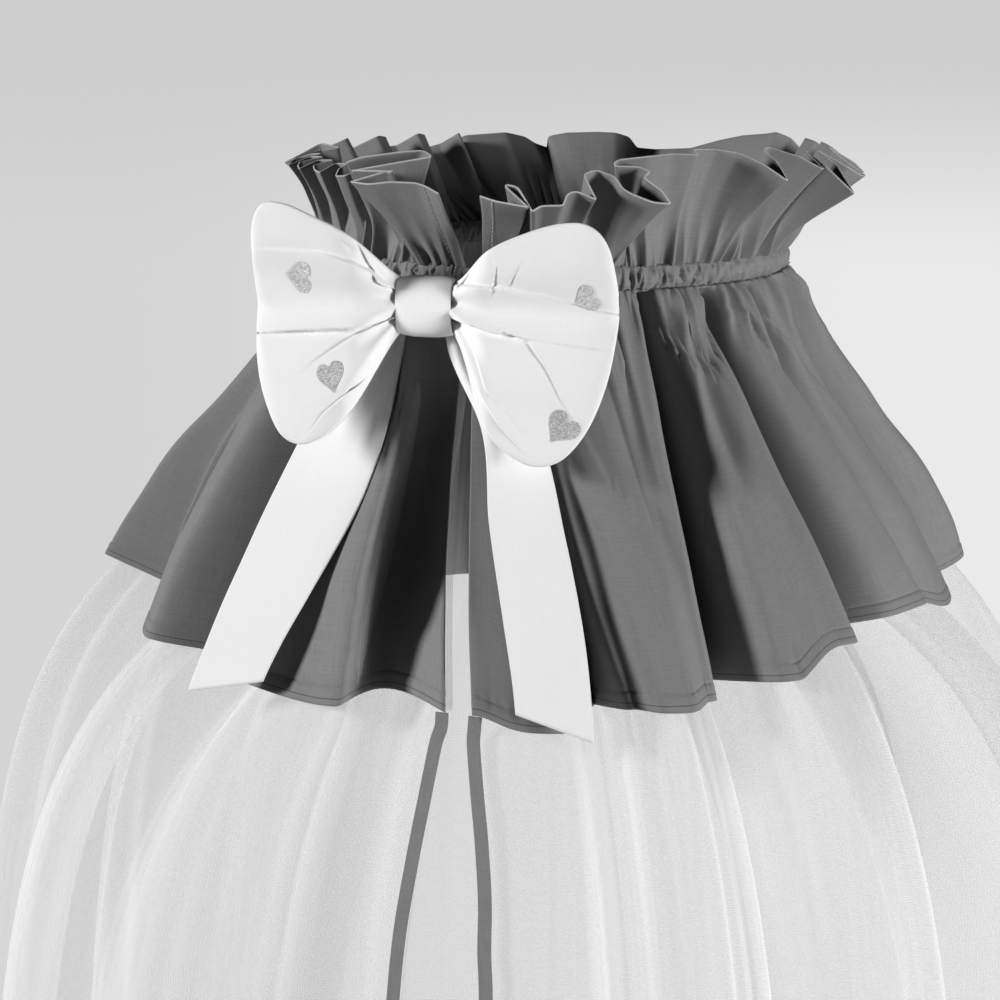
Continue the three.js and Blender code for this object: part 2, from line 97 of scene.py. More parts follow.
def gridPiece(name, columns, rows, place, cloth, closeAcross=False):
    mesh = bmesh.new()
    uvs = mesh.loops.layers.uv.new("cloth")
    bmesh.ops.create_grid(mesh, x_segments=columns, y_segments=rows, size=0.5, calc_uvs=True)
    stations = {}
    for vertex in mesh.verts:
        i = round((vertex.co.x + 0.5) * columns)
        j = round((vertex.co.y + 0.5) * rows)
        stations[vertex.index] = (i, j)
    for face in mesh.faces:
        for loop in face.loops:
            i, j = stations[loop.vert.index]
            loop[uvs].uv = (i / columns * cloth[0], j / rows * cloth[1])
    for vertex in mesh.verts:
        i, j = stations[vertex.index]
        vertex.co = place(i, j) * millimetre
    if closeAcross:
        bmesh.ops.remove_doubles(mesh, verts=mesh.verts, dist=sewDistance)
    for face in mesh.faces:
        face.smooth = True
    return finishMesh(name, mesh)


def finishMesh(name, mesh):
    data = bpy.data.meshes.new(name)
    mesh.to_mesh(data)
    mesh.free()
    piece = bpy.data.objects.new(name, data)
    bpy.context.scene.collection.objects.link(piece)
    return piece


def thicken(piece, thickness):
    modifier = piece.modifiers.new("thickness", "SOLIDIFY")
    modifier.thickness = thickness * millimetre
    modifier.offset = -1.0
    modifier.use_even_offset = False
    return piece


# Creases: lines with the cloth raised or sunk beside them, and a sharp step of this many millimetres
# between the sides. The left side is the one on the left of someone who walks along the line, where the
# second number grows upward.
creaseSharp = 1.3


def crease(line, left, right, softLeft, softRight, ends=(1.0, 1.0)):
    reach = 4 * max(softLeft, softRight)
    return {"line": line, "left": left, "right": right, "softLeft": softLeft, "softRight": softRight,
            "ends": ends, "box": (min(p[0] for p in line) - reach, max(p[0] for p in line) + reach,
                                  min(p[1] for p in line) - reach, max(p[1] for p in line) + reach)}


def nearestOnLine(line, x, y):
    best = None
    for k in range(len(line) - 1):
        ax, ay = line[k]
        dx, dy = line[k + 1][0] - ax, line[k + 1][1] - ay
        part = clamp(((x - ax) * dx + (y - ay) * dy) / (dx * dx + dy * dy))
        awayX, awayY = x - ax - part * dx, y - ay - part * dy
        distance = math.hypot(awayX, awayY)
        if best is None or distance < best[0]:
            best = (distance, (k + part) / (len(line) - 1), dx * awayY - dy * awayX >= 0)
    return best


def creaseHeight(creases, x, y):
    total = 0.0
    for item in creases:
        low, high, bottom, top = item["box"]
        if not (low < x < high and bottom < y < top):
            continue
        distance, share, onLeft = nearestOnLine(item["line"], x, y)
        signed = distance if onLeft else -distance
        blend = ease(clamp(0.5 + signed / creaseSharp))
        left = item["left"] * math.exp(-max(signed, 0.0) / item["softLeft"])
        right = item["right"] * math.exp(min(signed, 0.0) / item["softRight"])
        total += lerp(item["ends"][0], item["ends"][1], share) * lerp(right, left, blend)
    return total


# Materials

def newMaterial(name):
    material = bpy.data.materials.new(name)
    material.use_nodes = True
    nodes = material.node_tree.nodes
    return material, nodes, material.node_tree.links, nodes["Principled BSDF"]


def groupOf(name, inputs, outputs):
    group = bpy.data.node_groups.new(name, "ShaderNodeTree")
    for title, kind, value in inputs:
        socket = group.interface.new_socket(title, in_out="INPUT", socket_type=kind)
        if value is not None:
            socket.default_value = value
    for title, kind in outputs:
        group.interface.new_socket(title, in_out="OUTPUT", socket_type=kind)
    given = group.nodes.new("NodeGroupInput")
    made = group.nodes.new("NodeGroupOutput")
    return group, group.nodes, group.links, given, made


def mathNode(nodes, links, operation, first, second=None, third=None):
    node = nodes.new("ShaderNodeMath")
    node.operation = operation
    for k, value in enumerate((first, second, third)):
        if value is None:
            continue
        if isinstance(value, (int, float)):
            node.inputs[k].default_value = value
        else:
            links.new(value, node.inputs[k])
    return node.outputs[0]


# Plain weave: warp and weft threads from the cloth's own coordinates, with slubs along each.
weaveLook = {"slubScale": 900.0, "slubDetail": 2.0, "slubStretches": ((1.0, 0.05, 1.0), (0.05, 1.0, 1.0)),
             "slubRelief": 2.0}


def makeWeaveGroup():
    group, nodes, links, given, made = groupOf(
        "plainWeave",
        [("Cloth", "NodeSocketVector", None), ("Thread pitch", "NodeSocketFloat", 0.0005),
         ("Slub", "NodeSocketFloat", 0.5)],
        [("Height", "NodeSocketFloat"), ("Tone", "NodeSocketFloat")])
    split = nodes.new("ShaderNodeSeparateXYZ")
    links.new(given.outputs["Cloth"], split.inputs[0])
    turnShare = mathNode(nodes, links, "DIVIDE", math.pi, given.outputs["Thread pitch"])
    warp = mathNode(nodes, links, "MULTIPLY", split.outputs[0], turnShare)
    weft = mathNode(nodes, links, "MULTIPLY", split.outputs[1], turnShare)
    over = mathNode(nodes, links, "MULTIPLY", mathNode(nodes, links, "SINE", warp),
                    mathNode(nodes, links, "SINE", weft))
    slubs = []
    for stretch in weaveLook["slubStretches"]:
        scale = nodes.new("ShaderNodeVectorMath")
        scale.operation = "MULTIPLY"
        scale.inputs[1].default_value = stretch
        links.new(given.outputs["Cloth"], scale.inputs[0])
        threads = nodes.new("ShaderNodeTexNoise")
        threads.inputs["Scale"].default_value = weaveLook["slubScale"]
        threads.inputs["Detail"].default_value = weaveLook["slubDetail"]
        links.new(scale.outputs[0], threads.inputs["Vector"])
        slubs.append(threads.outputs["Fac"])
    slub = mathNode(nodes, links, "ADD", slubs[0], slubs[1])
    tone = mathNode(nodes, links, "MULTIPLY", mathNode(nodes, links, "SUBTRACT", slub, 1.0),
                    given.outputs["Slub"])
    slubHeight = mathNode(nodes, links, "MULTIPLY", tone, weaveLook["slubRelief"])
    links.new(mathNode(nodes, links, "ADD", over, slubHeight), made.inputs["Height"])
    links.new(mathNode(nodes, links, "ADD", tone, 1.0), made.inputs["Tone"])
    return group


weaveGroup = makeWeaveGroup()


# A line, where the cloth has one, is its height up the cloth, its half width and its tone: a dark one is
# the shade along a hem's stitches, and a pale one is the light on a cut edge.
def clothMaterial(name, setting):
    material, nodes, links, shader = newMaterial(name)
    uv = nodes.new("ShaderNodeUVMap")
    uv.uv_map = "cloth"
    weave = nodes.new("ShaderNodeGroup")
    weave.node_tree = weaveGroup
    weave.inputs["Thread pitch"].default_value = setting["pitch"]
    weave.inputs["Slub"].default_value = setting["slub"]
    links.new(uv.outputs[0], weave.inputs["Cloth"])
    tint = nodes.new("ShaderNodeVectorMath")
    tint.operation = "SCALE"
    tint.inputs[0].default_value = setting["base"]
    tone = weave.outputs["Tone"]
    if "line" in setting:
        place, halfWidth, strength = setting["line"]
        split = nodes.new("ShaderNodeSeparateXYZ")
        links.new(uv.outputs[0], split.inputs[0])
        away = mathNode(nodes, links, "SUBTRACT", split.outputs[1], place)
        away = mathNode(nodes, links, "ABSOLUTE", away)
        line = nodes.new("ShaderNodeMapRange")
        line.inputs["From Max"].default_value = halfWidth
        line.inputs["To Min"].default_value = strength
        links.new(away, line.inputs["Value"])
        tone = mathNode(nodes, links, "MULTIPLY", tone, line.outputs[0])
    links.new(tone, tint.inputs["Scale"])
    links.new(tint.outputs[0], shader.inputs["Base Color"])
    relief = nodes.new("ShaderNodeBump")
    relief.inputs["Strength"].default_value = setting["bump"]
    relief.inputs["Distance"].default_value = 0.0001
    links.new(weave.outputs["Height"], relief.inputs["Height"])
    links.new(relief.outputs[0], shader.inputs["Normal"])
    shader.inputs["Roughness"].default_value = setting["roughness"]
    shader.inputs["Specular IOR Level"].default_value = setting["specular"]
    shader.inputs["Sheen Weight"].default_value = setting["sheen"]
    shader.inputs["Sheen Roughness"].default_value = 0.5
    material.diffuse_color = (*setting["base"], 1.0)
    return material


greyLook = {"base": (0.202, 0.202, 0.202), "pitch": 0.00045, "slub": 0.3, "bump": 0.35, "roughness": 0.85,
            "specular": 0.2, "sheen": 0.08}
whiteLook = {"base": (0.82, 0.82, 0.82), "pitch": 0.00035, "slub": 0.05, "bump": 0.15, "roughness": 0.8,
             "specular": 0.2, "sheen": 0.05}
greyCotton = clothMaterial("darkCotton", greyLook)
# The hem's dark line is painted shade along the ditch above its stitches.
hemShadeCotton = clothMaterial("hemShadeCotton", {**greyLook, "line": (0.297, 0.0013, 0.25)})
# The frill's pale line is a painted highlight along its cut top edge.
edgeHighlightCotton = clothMaterial("edgeHighlightCotton", {**greyLook, "line": (0.075, 0.0016, 2.4)})
whiteCotton = clothMaterial("whiteCotton", whiteLook)


def plainMaterial(name, base, roughness, specular=0.5):
    material, nodes, links, shader = newMaterial(name)
    shader.inputs["Base Color"].default_value = (*base, 1.0)
    shader.inputs["Roughness"].default_value = roughness
    shader.inputs["Specular IOR Level"].default_value = specular
    material.diffuse_color = (*base, 1.0)
    return material


greyThread = plainMaterial("greyThread", (0.46, 0.46, 0.46), 0.6)
coatedWire = plainMaterial("coatedWire", (0.75, 0.75, 0.75), 0.35)
socketPlastic = plainMaterial("socketPlastic", (0.72, 0.72, 0.71), 0.45)


# Net: a small-holed mesh in the cloth's coordinates, thicker to the eye where it turns edge-on, with
# streaks down it where it is gathered. Cover is the share of light that it stops.
netLook = {"cell": 0.0016, "irregular": 0.25, "thread": 0.16, "least": 0.09, "threadCover": 0.30,
           "edgeBlend": 0.25, "edgeCover": 0.32, "most": 0.55, "streaks": (70.0, 0.9, 1.0),
           "streakDetail": 3.0, "streakGain": 1.3, "streakLeast": 0.2, "tone": (0.92, 0.92, 0.92, 1.0),
           "roughness": 0.9, "specular": 0.1, "through": 0.45}


def netMaterial():
    material, nodes, links, shader = newMaterial("whiteNet")
    uv = nodes.new("ShaderNodeUVMap")
    uv.uv_map = "cloth"
    holes = nodes.new("ShaderNodeTexVoronoi")
    holes.voronoi_dimensions = "2D"
    holes.feature = "DISTANCE_TO_EDGE"
    holes.inputs["Randomness"].default_value = netLook["irregular"]
    holes.inputs["Scale"].default_value = 1 / netLook["cell"]
    links.new(uv.outputs[0], holes.inputs["Vector"])
    thread = mathNode(nodes, links, "LESS_THAN", holes.outputs["Distance"], netLook["thread"])
    edgeOn = nodes.new("ShaderNodeLayerWeight")
    edgeOn.inputs["Blend"].default_value = netLook["edgeBlend"]
    cover = mathNode(nodes, links, "MULTIPLY_ADD", thread, netLook["threadCover"], netLook["least"])
    cover = mathNode(nodes, links, "MULTIPLY_ADD", edgeOn.outputs["Facing"], netLook["edgeCover"], cover)
    stretch = nodes.new("ShaderNodeVectorMath")
    stretch.operation = "MULTIPLY"
    stretch.inputs[1].default_value = netLook["streaks"]
    links.new(uv.outputs[0], stretch.inputs[0])
    streak = nodes.new("ShaderNodeTexNoise")
    streak.inputs["Scale"].default_value = 1.0
    streak.inputs["Detail"].default_value = netLook["streakDetail"]
    links.new(stretch.outputs[0], streak.inputs["Vector"])
    streaked = mathNode(nodes, links, "MULTIPLY_ADD", streak.outputs["Fac"], netLook["streakGain"],
                        netLook["streakLeast"])
    cover = mathNode(nodes, links, "MULTIPLY", cover, streaked)
    cover = mathNode(nodes, links, "MINIMUM", cover, netLook["most"])
    shader.inputs["Base Color"].default_value = netLook["tone"]
    shader.inputs["Roughness"].default_value = netLook["roughness"]
    shader.inputs["Specular IOR Level"].default_value = netLook["specular"]
    glow = nodes.new("ShaderNodeBsdfTranslucent")
    glow.inputs["Color"].default_value = netLook["tone"]
    clear = nodes.new("ShaderNodeBsdfTransparent")
    both = nodes.new("ShaderNodeMixShader")
    both.inputs[0].default_value = netLook["through"]
    links.new(shader.outputs[0], both.inputs[1])
    links.new(glow.outputs[0], both.inputs[2])
    mix = nodes.new("ShaderNodeMixShader")
    links.new(cover, mix.inputs[0])
    links.new(clear.outputs[0], mix.inputs[1])
    links.new(both.outputs[0], mix.inputs[2])
    links.new(mix.outputs[0], nodes["Material Output"].inputs["Surface"])
    material.diffuse_color = (0.9, 0.9, 0.9, 0.5)
    return material


# Glitter: small flakes, each with its own tone and tilt.
glitterLook = {"flakeScale": 1300.0, "darkest": 0.40, "lightest": 0.90, "bump": 0.6, "flakeHeight": 0.0003,
               "roughness": 0.4, "metallic": 0.45}


def glitterMaterial():
    material, nodes, links, shader = newMaterial("silverGlitter")
    place = nodes.new("ShaderNodeTexCoord")
    flakes = nodes.new("ShaderNodeTexVoronoi")
    flakes.inputs["Scale"].default_value = glitterLook["flakeScale"]
    links.new(place.outputs["Object"], flakes.inputs["Vector"])
    split = nodes.new("ShaderNodeSeparateColor")
    links.new(flakes.outputs["Color"], split.inputs[0])
    tone = nodes.new("ShaderNodeMapRange")
    tone.inputs["To Min"].default_value = glitterLook["darkest"]
    tone.inputs["To Max"].default_value = glitterLook["lightest"]
    links.new(split.outputs[0], tone.inputs["Value"])
    links.new(tone.outputs[0], shader.inputs["Base Color"])
    relief = nodes.new("ShaderNodeBump")
    relief.inputs["Strength"].default_value = glitterLook["bump"]
    relief.inputs["Distance"].default_value = glitterLook["flakeHeight"]
    links.new(split.outputs[1], relief.inputs["Height"])
    links.new(relief.outputs[0], shader.inputs["Normal"])
    shader.inputs["Roughness"].default_value = glitterLook["roughness"]
    shader.inputs["Metallic"].default_value = glitterLook["metallic"]
    return material


whiteNet = netMaterial()
silverGlitter = glitterMaterial()
print("materials made")

# Skirt

# Each row is a ridge, a valley or a step in a slope, from the slit's right side to its left: turn at the
# casing, turn at the hem, shares of the reach and of the fall.
skirtFolds = [
    (4.1, 10.8, .68, .96), (10.5, 21, .73, .99), (13, 28, .37, .99), (15.5, 31.2, .74, .93),
    (26, 36, .85, .92), (37, 39.4, .81, .91), (42.4, 43, .30, .95), (49, 48.5, .94, .855),
    (53, 54.3, .96, .78), (58.5, 59.5, .40, .85), (66, 70, .79, .78), (72, 86, .63, .84),
    (79, 102, .70, .89), (87, 109, .42, .93), (103, 123, .85, .85),
    (118, 137, .33, 1.01), (130, 147, .51, 1.0), (141, 156, .20, 1.04), (152, 165, .39, 1.04),
    (164, 175, .17, 1.06), (176, 185, .34, 1.05), (188, 195, .16, 1.06), (200, 205, .38, 1.04),
    (211, 214, .18, 1.05), (222, 223, .34, 1.07), (232, 232.5, .20, 1.04), (242, 242, .56, .99),
    (251, 251, .31, 1.01), (260, 260.5, .81, .91), (269, 270, .49, .96), (276, 278, .88, .88),
    (281, 283, 1.0, .86), (285, 283.7, .74, .93), (288, 283.5, .42, 1.0), (301, 305, .75, .98),
    (308.5, 311.5, .30, 1.04), (338, 345, .64, .99), (360.3, 367.2, .66, .96),
]
# In every function t goes from 0 at the casing to 1 at the hem, and share from 0 to 1 along the cloth.
skirt = {"fall": 270.0, "reach": 180.0, "bell": 0.035, "bellSkew": 0.6,
         "early": 1.3, "late": -0.15, "leadCurve": 0.55,  # how soon valleys and ridges take their places
         "narrow": 2.0,  # above 1 the ridges are narrower than the valleys
         "sink": 36.0, "sinkSkew": 0.7, "sinkCurve": 0.8, "fullValley": 0.3,
         "meanReach": 0.45, "frontReach": 0.20, "frontTurn": 10.0,
         "columns": 1280, "thickness": 1.0, "cloth": (2.70, 0.31)}
hem = {"depth": 12.6, "clothHeight": 300.0, "fold": 0.6, "ditch": 1.1, "ditchWidth": 1.0,
       "pucker": 0.9, "puckerWidth": 7.0, "puckerCount": 330}


def bell(t):
    return t + skirt["bell"] * (math.sin(math.pi * t) - skirt["bellSkew"] * math.sin(2 * math.pi * t))


# How far a valley lies below the higher of its neighbours, as a share of a full valley; none for a ridge.
def valleyDepth(row):
    if row == 0 or row == len(skirtFolds) - 1:
        return 0.0
    before, here, after = skirtFolds[row - 1][2], skirtFolds[row][2], skirtFolds[row + 1][2]
    return clamp((max(before, after) - here) / skirt["fullValley"]) if min(before, after) > here else 0.0


def foldAt(share):
    place = clamp(share) * (len(skirtFolds) - 1)
    row = min(int(place), len(skirtFolds) - 2)
    part = place - row
    eased = (1 - math.cos(math.pi * part)) / 2
    a, b = skirtFolds[row], skirtFolds[row + 1]
    if b[2] < a[2]:
        eased = eased ** skirt["narrow"]
        depth = eased ** 3 * valleyDepth(row + 1)
    else:
        eased = 1 - (1 - eased) ** skirt["narrow"]
        depth = (1 - eased) ** 3 * valleyDepth(row)
    return (lerp(a[0], b[0], part), lerp(a[1], b[1], part), lerp(a[2], b[2], eased), lerp(a[3], b[3], eased),
            depth)


# The flare without its folds: wide in front and at the sides, and close behind, against the wall.
def meanReach(turn):
    return skirt["meanReach"] + skirt["frontReach"] * math.cos(math.radians(turn - skirt["frontTurn"]))


# A wave with sharp crests and round troughs, as gathered cloth has.
def sharpWave(phase):
    return 1.27 - 2 * abs(math.sin(phase / 2))


# Swells with the depth below the seam up to a peak of 1, and dies away below it.
def swell(depth, peak):
    return depth / peak * math.exp(1 - depth / peak)


# Fine gathers, from many small puckers at the seam to a few wider ones below it: how many round the ring,
# how high, and how far below the seam they are highest.
gatherRows = [(171, 1.8, 0.0), (103, 3.3, 9.0), (57, 4.6, 15.0), (31, 3.8, 30.0)]
gather = {"seamFade": 9.0, "warp": 1.6, "steady": 0.55, "vary": 0.9}


def gathers(turn, depth):
    total = 0.0
    for count, amount, peak in gatherRows:
        size = amount * (swell(depth, peak) if peak else math.exp(-depth / gather["seamFade"]))
        warp = gather["warp"] * noise.noise(Vector((turn * 0.09, count * 1.7, depth * 0.004)))
        vary = gather["steady"] + gather["vary"] * noise.noise(Vector((turn * 0.12, count * 3.1, 2.0)))
        total += size * vary * sharpWave(math.radians(turn) * count + 2 * math.pi * warp)
    return total


# Scoops and creases under the casing: turns as millimetres along it, and depths below it. Left of a line
# is the side that lies lower on a line that goes further round the ring.
turnWidth = 3.0
skirtCreases = [
    crease([(165, 5), (174, 11), (186, 18), (196, 15), (201, 7)], 1.6, -5.5, 6, 9, (0.4, 0.4)),
    crease([(126, 17), (135, 31), (145, 44), (154, 50), (161, 45), (163, 34)],
           2.4, -6.5, 12, 17, (0.8, 0.3)),
    crease([(140, 4), (150, 22), (158, 42), (162, 70)], 3.0, 3.0, 8, 11, (1.0, 0.4)),
    crease([(167, 24), (171, 52), (176, 96)], -3.6, -3.6, 9, 9, (1.0, 0.1)),
    crease([(203, 26), (206, 48), (214, 70)], -4.5, 2.4, 10, 8, (1.0, 0.0)),
    crease([(222, 30), (228, 52), (236, 84)], 3.6, -3.6, 5, 8, (1.0, 0.2)),
    crease([(121, 12), (125, 50), (130, 110)], -8.0, -8.0, 8, 8, (1.0, 0.3)),
    crease([(98, 20), (101, 44), (97, 66)], 3.4, -3.0, 4, 6, (1.0, 0.0)),
    crease([(64, 80), (74, 118), (92, 132)], 1.4, -3.4, 12, 16, (0.4, 0.2)),
    crease([(84, 30), (90, 80), (96, 140)], -3.6, -3.6, 10, 10, (0.8, 0.6)),
    crease([(-92, 16), (-88, 60), (-84, 120)], -5.0, -5.0, 7, 8, (1.0, 0.5)),
    crease([(-150, 8), (-142, 34), (-128, 52)], 3.0, -4.0, 6, 8, (1.0, 0.2)),
    crease([(-196, 12), (-184, 40), (-178, 84)], -4.5, 2.0, 8, 5, (1.0, 0.2)),
    crease([(-36, 24), (-34, 70), (-30, 130)], -4.0, 2.0, 8, 6, (1.0, 0.3)),
    crease([(282, 14), (288, 40), (298, 62)], 3.0, -5.0, 6, 8, (1.0, 0.1)),
    crease([(330, 16), (338, 48), (352, 80)], -5.0, 3.0, 8, 6, (1.0, 0.1)),
]


rumple = {"behind": 190.0, "crease": 1.45, "sway": 8.0, "dents": 3.2, "start": 25.0, "lowFade": 0.55,
          "puff": 5.0, "puffSteady": 0.7, "puffDepth": 11.0}


# Loose swaying and dents down the cloth, a puff just under the casing, and the creases above.
def rumples(turn, depth):
    signedTurn = turn if turn < rumple["behind"] else turn - 360
    sway = rumple["sway"] * noise.noise(Vector((turn * 0.06, depth * 0.010, 11.0)))
    dents = rumple["dents"] * noise.noise(Vector((turn * 0.15, depth * 0.022, 12.0)))
    fade = min(1.0, depth / rumple["start"]) * (1 - rumple["lowFade"] * clamp(depth / skirt["fall"]))
    puff = rumple["puff"] * (rumple["puffSteady"] + noise.noise(Vector((turn * 0.13, 0.0, 14.0))))
    creased = rumple["crease"] * creaseHeight(skirtCreases, signedTurn * turnWidth, depth)
    return creased + (sway + dents) * fade + puff * swell(depth, rumple["puffDepth"])


# Left of the slit the cloth falls back from the last crest, behind the straight line to the slit's edge.
# Top and hem say where the crest lies between the last two folds, and the crest itself stands out a
# little. Away is straight back from the viewer's side, and inward is the same without its slope.
recess = {"top": 0.58, "hem": 0.3, "ridge": 7.0, "ridgeWidth": 0.16, "depth": 46.0, "full": 0.6,
          "roundness": 1.6, "dip": 42.0, "dipSkew": 0.85,
          "away": Vector((-0.366, 0.907, -0.208)), "inward": Vector((-0.374, 0.927, 0.0))}


def slitRecess(share, t):
    start = len(skirtFolds) - 2 + lerp(recess["top"], recess["hem"], t)
    place = share * (len(skirtFolds) - 1) - start
    raised = recess["ridge"] * bump(place, recess["ridgeWidth"]) * rise(t, 0.02, 0.3)
    if place <= 0:
        return recess["away"] * -raised
    across = min(1.0, place / (len(skirtFolds) - 1 - start))
    height = rise(t, 0.0, 0.3) * (1 - rise(t, recess["full"], 1.0))
    fallen = recess["depth"] * (1 - (1 - across) ** recess["roundness"]) * height
    dip = recess["dip"] * math.sin(math.pi * across ** recess["dipSkew"]) * rise(t, 0.1, 0.7)
    return recess["away"] * (fallen - raised) + recess["inward"] * dip


def skirtPoint(share, t, inset=0.0, gathered=True):
    topTurn, hemTurn, reach, fall, valley = foldAt(share)
    depth = fall * skirt["fall"] * t
    turn = lerp(topTurn, hemTurn, t)
    radius = ring["skirtRadius"] + reach * skirt["reach"] * bell(t) - inset
    lead = reach - meanReach(topTurn)
    lead *= skirt["early"] if lead < 0 else skirt["late"]
    radius += lead * skirt["reach"] * (t ** skirt["leadCurve"] - t)
    radius -= skirt["sink"] * valley * math.sin(math.pi * t ** skirt["sinkSkew"]) ** skirt["sinkCurve"]
    if gathered:
        radius += gathers(topTurn, depth) + rumples(topTurn, depth)
    return at(turn, radius, ring["skirtTop"] - depth) + slitRecess(share, t)


# Rows of the grid down the skirt, close together under the casing and beside the hem's stitches.
skirtStops = ([0.0, 0.006, 0.014, 0.024, 0.036, 0.05, 0.066, 0.084, 0.104, 0.126, 0.15]
              + [0.15 + 0.78 * k / 30 for k in range(1, 31)]
              + [0.94, 0.949, 0.953, 0.957, 0.960, 0.963, 0.968, 0.976, 0.985, 0.993, 1.0])


# The hem is a second layer, with a ditch and small puckers where it is stitched.
def hemRelief(t, share):
    above = (1 - t) * hem["clothHeight"] - hem["depth"]
    raised = hem["fold"] * rise(hem["fold"] - above, 0.0, 0.8)
    ditch = hem["ditch"] * bump(above, hem["ditchWidth"])
    puckered = hem["pucker"] * noise.noise(Vector((share * hem["puckerCount"], 0.0, 5.0)))
    return raised - ditch + puckered * bump(above, hem["puckerWidth"])


def skirtPlace(i, j):
    share = i / skirt["columns"]
    t = skirtStops[j]
    return skirtPoint(share, t, -hemRelief(t, share))


valance = gridPiece("valanceSkirt", skirt["columns"], len(skirtStops) - 1, skirtPlace, skirt["cloth"])
thicken(valance, skirt["thickness"])
print("skirt made")

# Casing

# A tube of cloth round the wire, from the slit's right side to its left. Its stitched rows are pinched,
# its puckers are fine ones and wider ones that cross them, and it never comes closer to the wire's
# middle than wireRoom.
casing = {"columns": 2000, "rows": 24, "halfDepth": 5.2, "halfHeight": 8.0, "centreZ": 54.0,
          "wireZ": 58.6, "wireRoom": 3.5, "turns": (4.1, 360.3), "square": 0.62,
          "edgePinch": 0.35, "stitchPinch": 0.32, "stitchPlace": 0.72, "stitchWidth": 0.14,
          "puckers": 0.9, "edgeFade": 0.35, "heave": 1.8, "thickness": 0.8, "cloth": (1.07, 0.05)}
pucker = {"fineCount": 170, "fine": 2.8, "crossCount": 87, "cross": 1.7, "crossSlope": 0.16,
          "coarse": 2.4, "slant": 1.1}


def crinkle(turn, z):
    slant = pucker["slant"] * noise.noise(Vector((turn * 0.3, z * 0.11, 8.0)))
    fine = -sharpWave(math.radians(turn) * pucker["fineCount"] + 2 * math.pi * slant)
    cross = -sharpWave(math.radians(turn) * pucker["crossCount"] + 6 * slant + z * pucker["crossSlope"])
    coarse = noise.noise(Vector((turn * 0.5, z * 0.05, 3.0)))
    fine *= pucker["fine"] * (0.5 + 1.1 * abs(coarse))
    return fine + pucker["cross"] * cross + pucker["coarse"] * coarse


def casingPlace(i, j):
    turn = lerp(*casing["turns"], i / casing["columns"])
    angle = 2 * math.pi * j / casing["rows"]
    side = squared(math.cos(angle), casing["square"])
    lift = squared(math.sin(angle), casing["square"])
    z = casing["halfHeight"] * lift
    pinch = casing["stitchPinch"] * bump(abs(lift) - casing["stitchPlace"], casing["stitchWidth"])
    belly = 1 - casing["edgePinch"] * abs(lift) ** 4 - pinch
    crinkled = side * casing["puckers"] * crinkle(turn, z) * (1 - casing["edgeFade"] * abs(lift))
    outward = casing["halfDepth"] * side * belly + crinkled
    heave = lift * casing["heave"] * noise.noise(Vector((turn * 0.8, 1.0, 6.0)))
    above = casing["centreZ"] + z + heave - casing["wireZ"]
    room = max(1.0, casing["wireRoom"] / max(math.hypot(outward, above), 0.01))
    return at(turn, ring["radius"] + outward * room, casing["wireZ"] + above * room)


gatheredCasing = gridPiece("gatheredCasing", casing["columns"], casing["rows"], casingPlace,
                           casing["cloth"], closeAcross=True)
thicken(gatheredCasing, casing["thickness"])
print("casing made")

# Frill

# One plain ruffle goes out, doubles back and comes in again. Each corner has its place across the ruffle
# and how that varies, then whether it is an outer one, its millimetres past that radius and how they vary.
ruffleCorners = [(0.05, 0.0, False, 0, 12), (0.22, 0.3, True, -6, 0), (0.60, 0.0, True, 0, 12),
                 (0.98, -0.3, True, 2, 0), (0.74, 0.3, False, 6, 0)]


def plainRuffles(first, last, count, inner, outer, slope):
    rows = []
    wide = (last - first) / count
    for k in range(count):
        turn = first + k * wide
        vary = noise.noise(Vector((turn * 0.21, 4.0, 0.0)))
        for place, placeVary, isOuter, more, moreVary in ruffleCorners:
            radius = (outer if isOuter else inner) + more + moreVary * vary
            rows.append((turn + (place + placeVary * vary) * wide, radius, slope))
    return rows


# The top edge, along the cloth from the slit's right side: turn, radius and the cloth's height up the
# slope from the casing.
frillEdge = [
    (8, 216, 70), (11, 219, 70), (17, 222, 70), (12, 207, 70), (14.3, 209, 70), (17.3, 222, 68),
    (18.6, 220, 69), (20.4, 221, 70), (22.6, 221, 70), (23.3, 214, 70), (24.8, 212, 70), (28.3, 218, 70),
    (26.7, 196, 70), (29.3, 190, 70), (32.2, 199, 70), (33.1, 211, 70), (34.7, 215, 70), (38, 220, 70),
    (41.2, 221, 70), (40.3, 212, 70), (37.7, 204, 72), (39.7, 198, 72), (38, 190, 72), (33, 188, 72),
    (34, 184, 74), (39.5, 191, 78), (46, 187, 78), (51.2, 191, 78), (52.6, 178, 78), (57.8, 181, 78),
    (61.5, 191, 78), (63.5, 208, 78), (65.8, 222, 78), (68, 205, 78), (69.5, 190, 78), (73.4, 184, 78),
    (76.7, 202, 78), (79.6, 217, 78), (82, 200, 78), (83.6, 196, 78), (81.5, 214, 78), (84, 233, 78),
    (88, 214, 77),
    *plainRuffles(90, 140, 4, 196, 224, 77),
    (140, 196, 78), (146, 202, 78), (155, 208, 78), (163, 216, 78), (171, 222, 76), (179, 224, 76),
    (183, 220, 74), (184, 208, 74), (186.6, 202, 74), (191, 201, 74), (198, 203, 74), (201.8, 208, 74),
    (202, 221, 74), (204.8, 217, 74), (207.4, 209, 74), (212, 202, 74), (221.5, 206, 74), (223.5, 219, 74),
    *plainRuffles(224, 272, 4, 186, 214, 70),
    *plainRuffles(272, 336, 6, 171, 193, 64),
    (337, 203, 76), (340.2, 199, 78), (347.6, 187, 78), (352, 181, 78), (355, 186, 76), (350, 193, 75),
    (338.7, 205, 73), (349.5, 203, 73), (347, 201, 72), (340, 210, 70), (345, 211, 70), (349.5, 208, 70),
    (355, 208, 70), (357, 210, 70), (360.2, 215, 70),
]
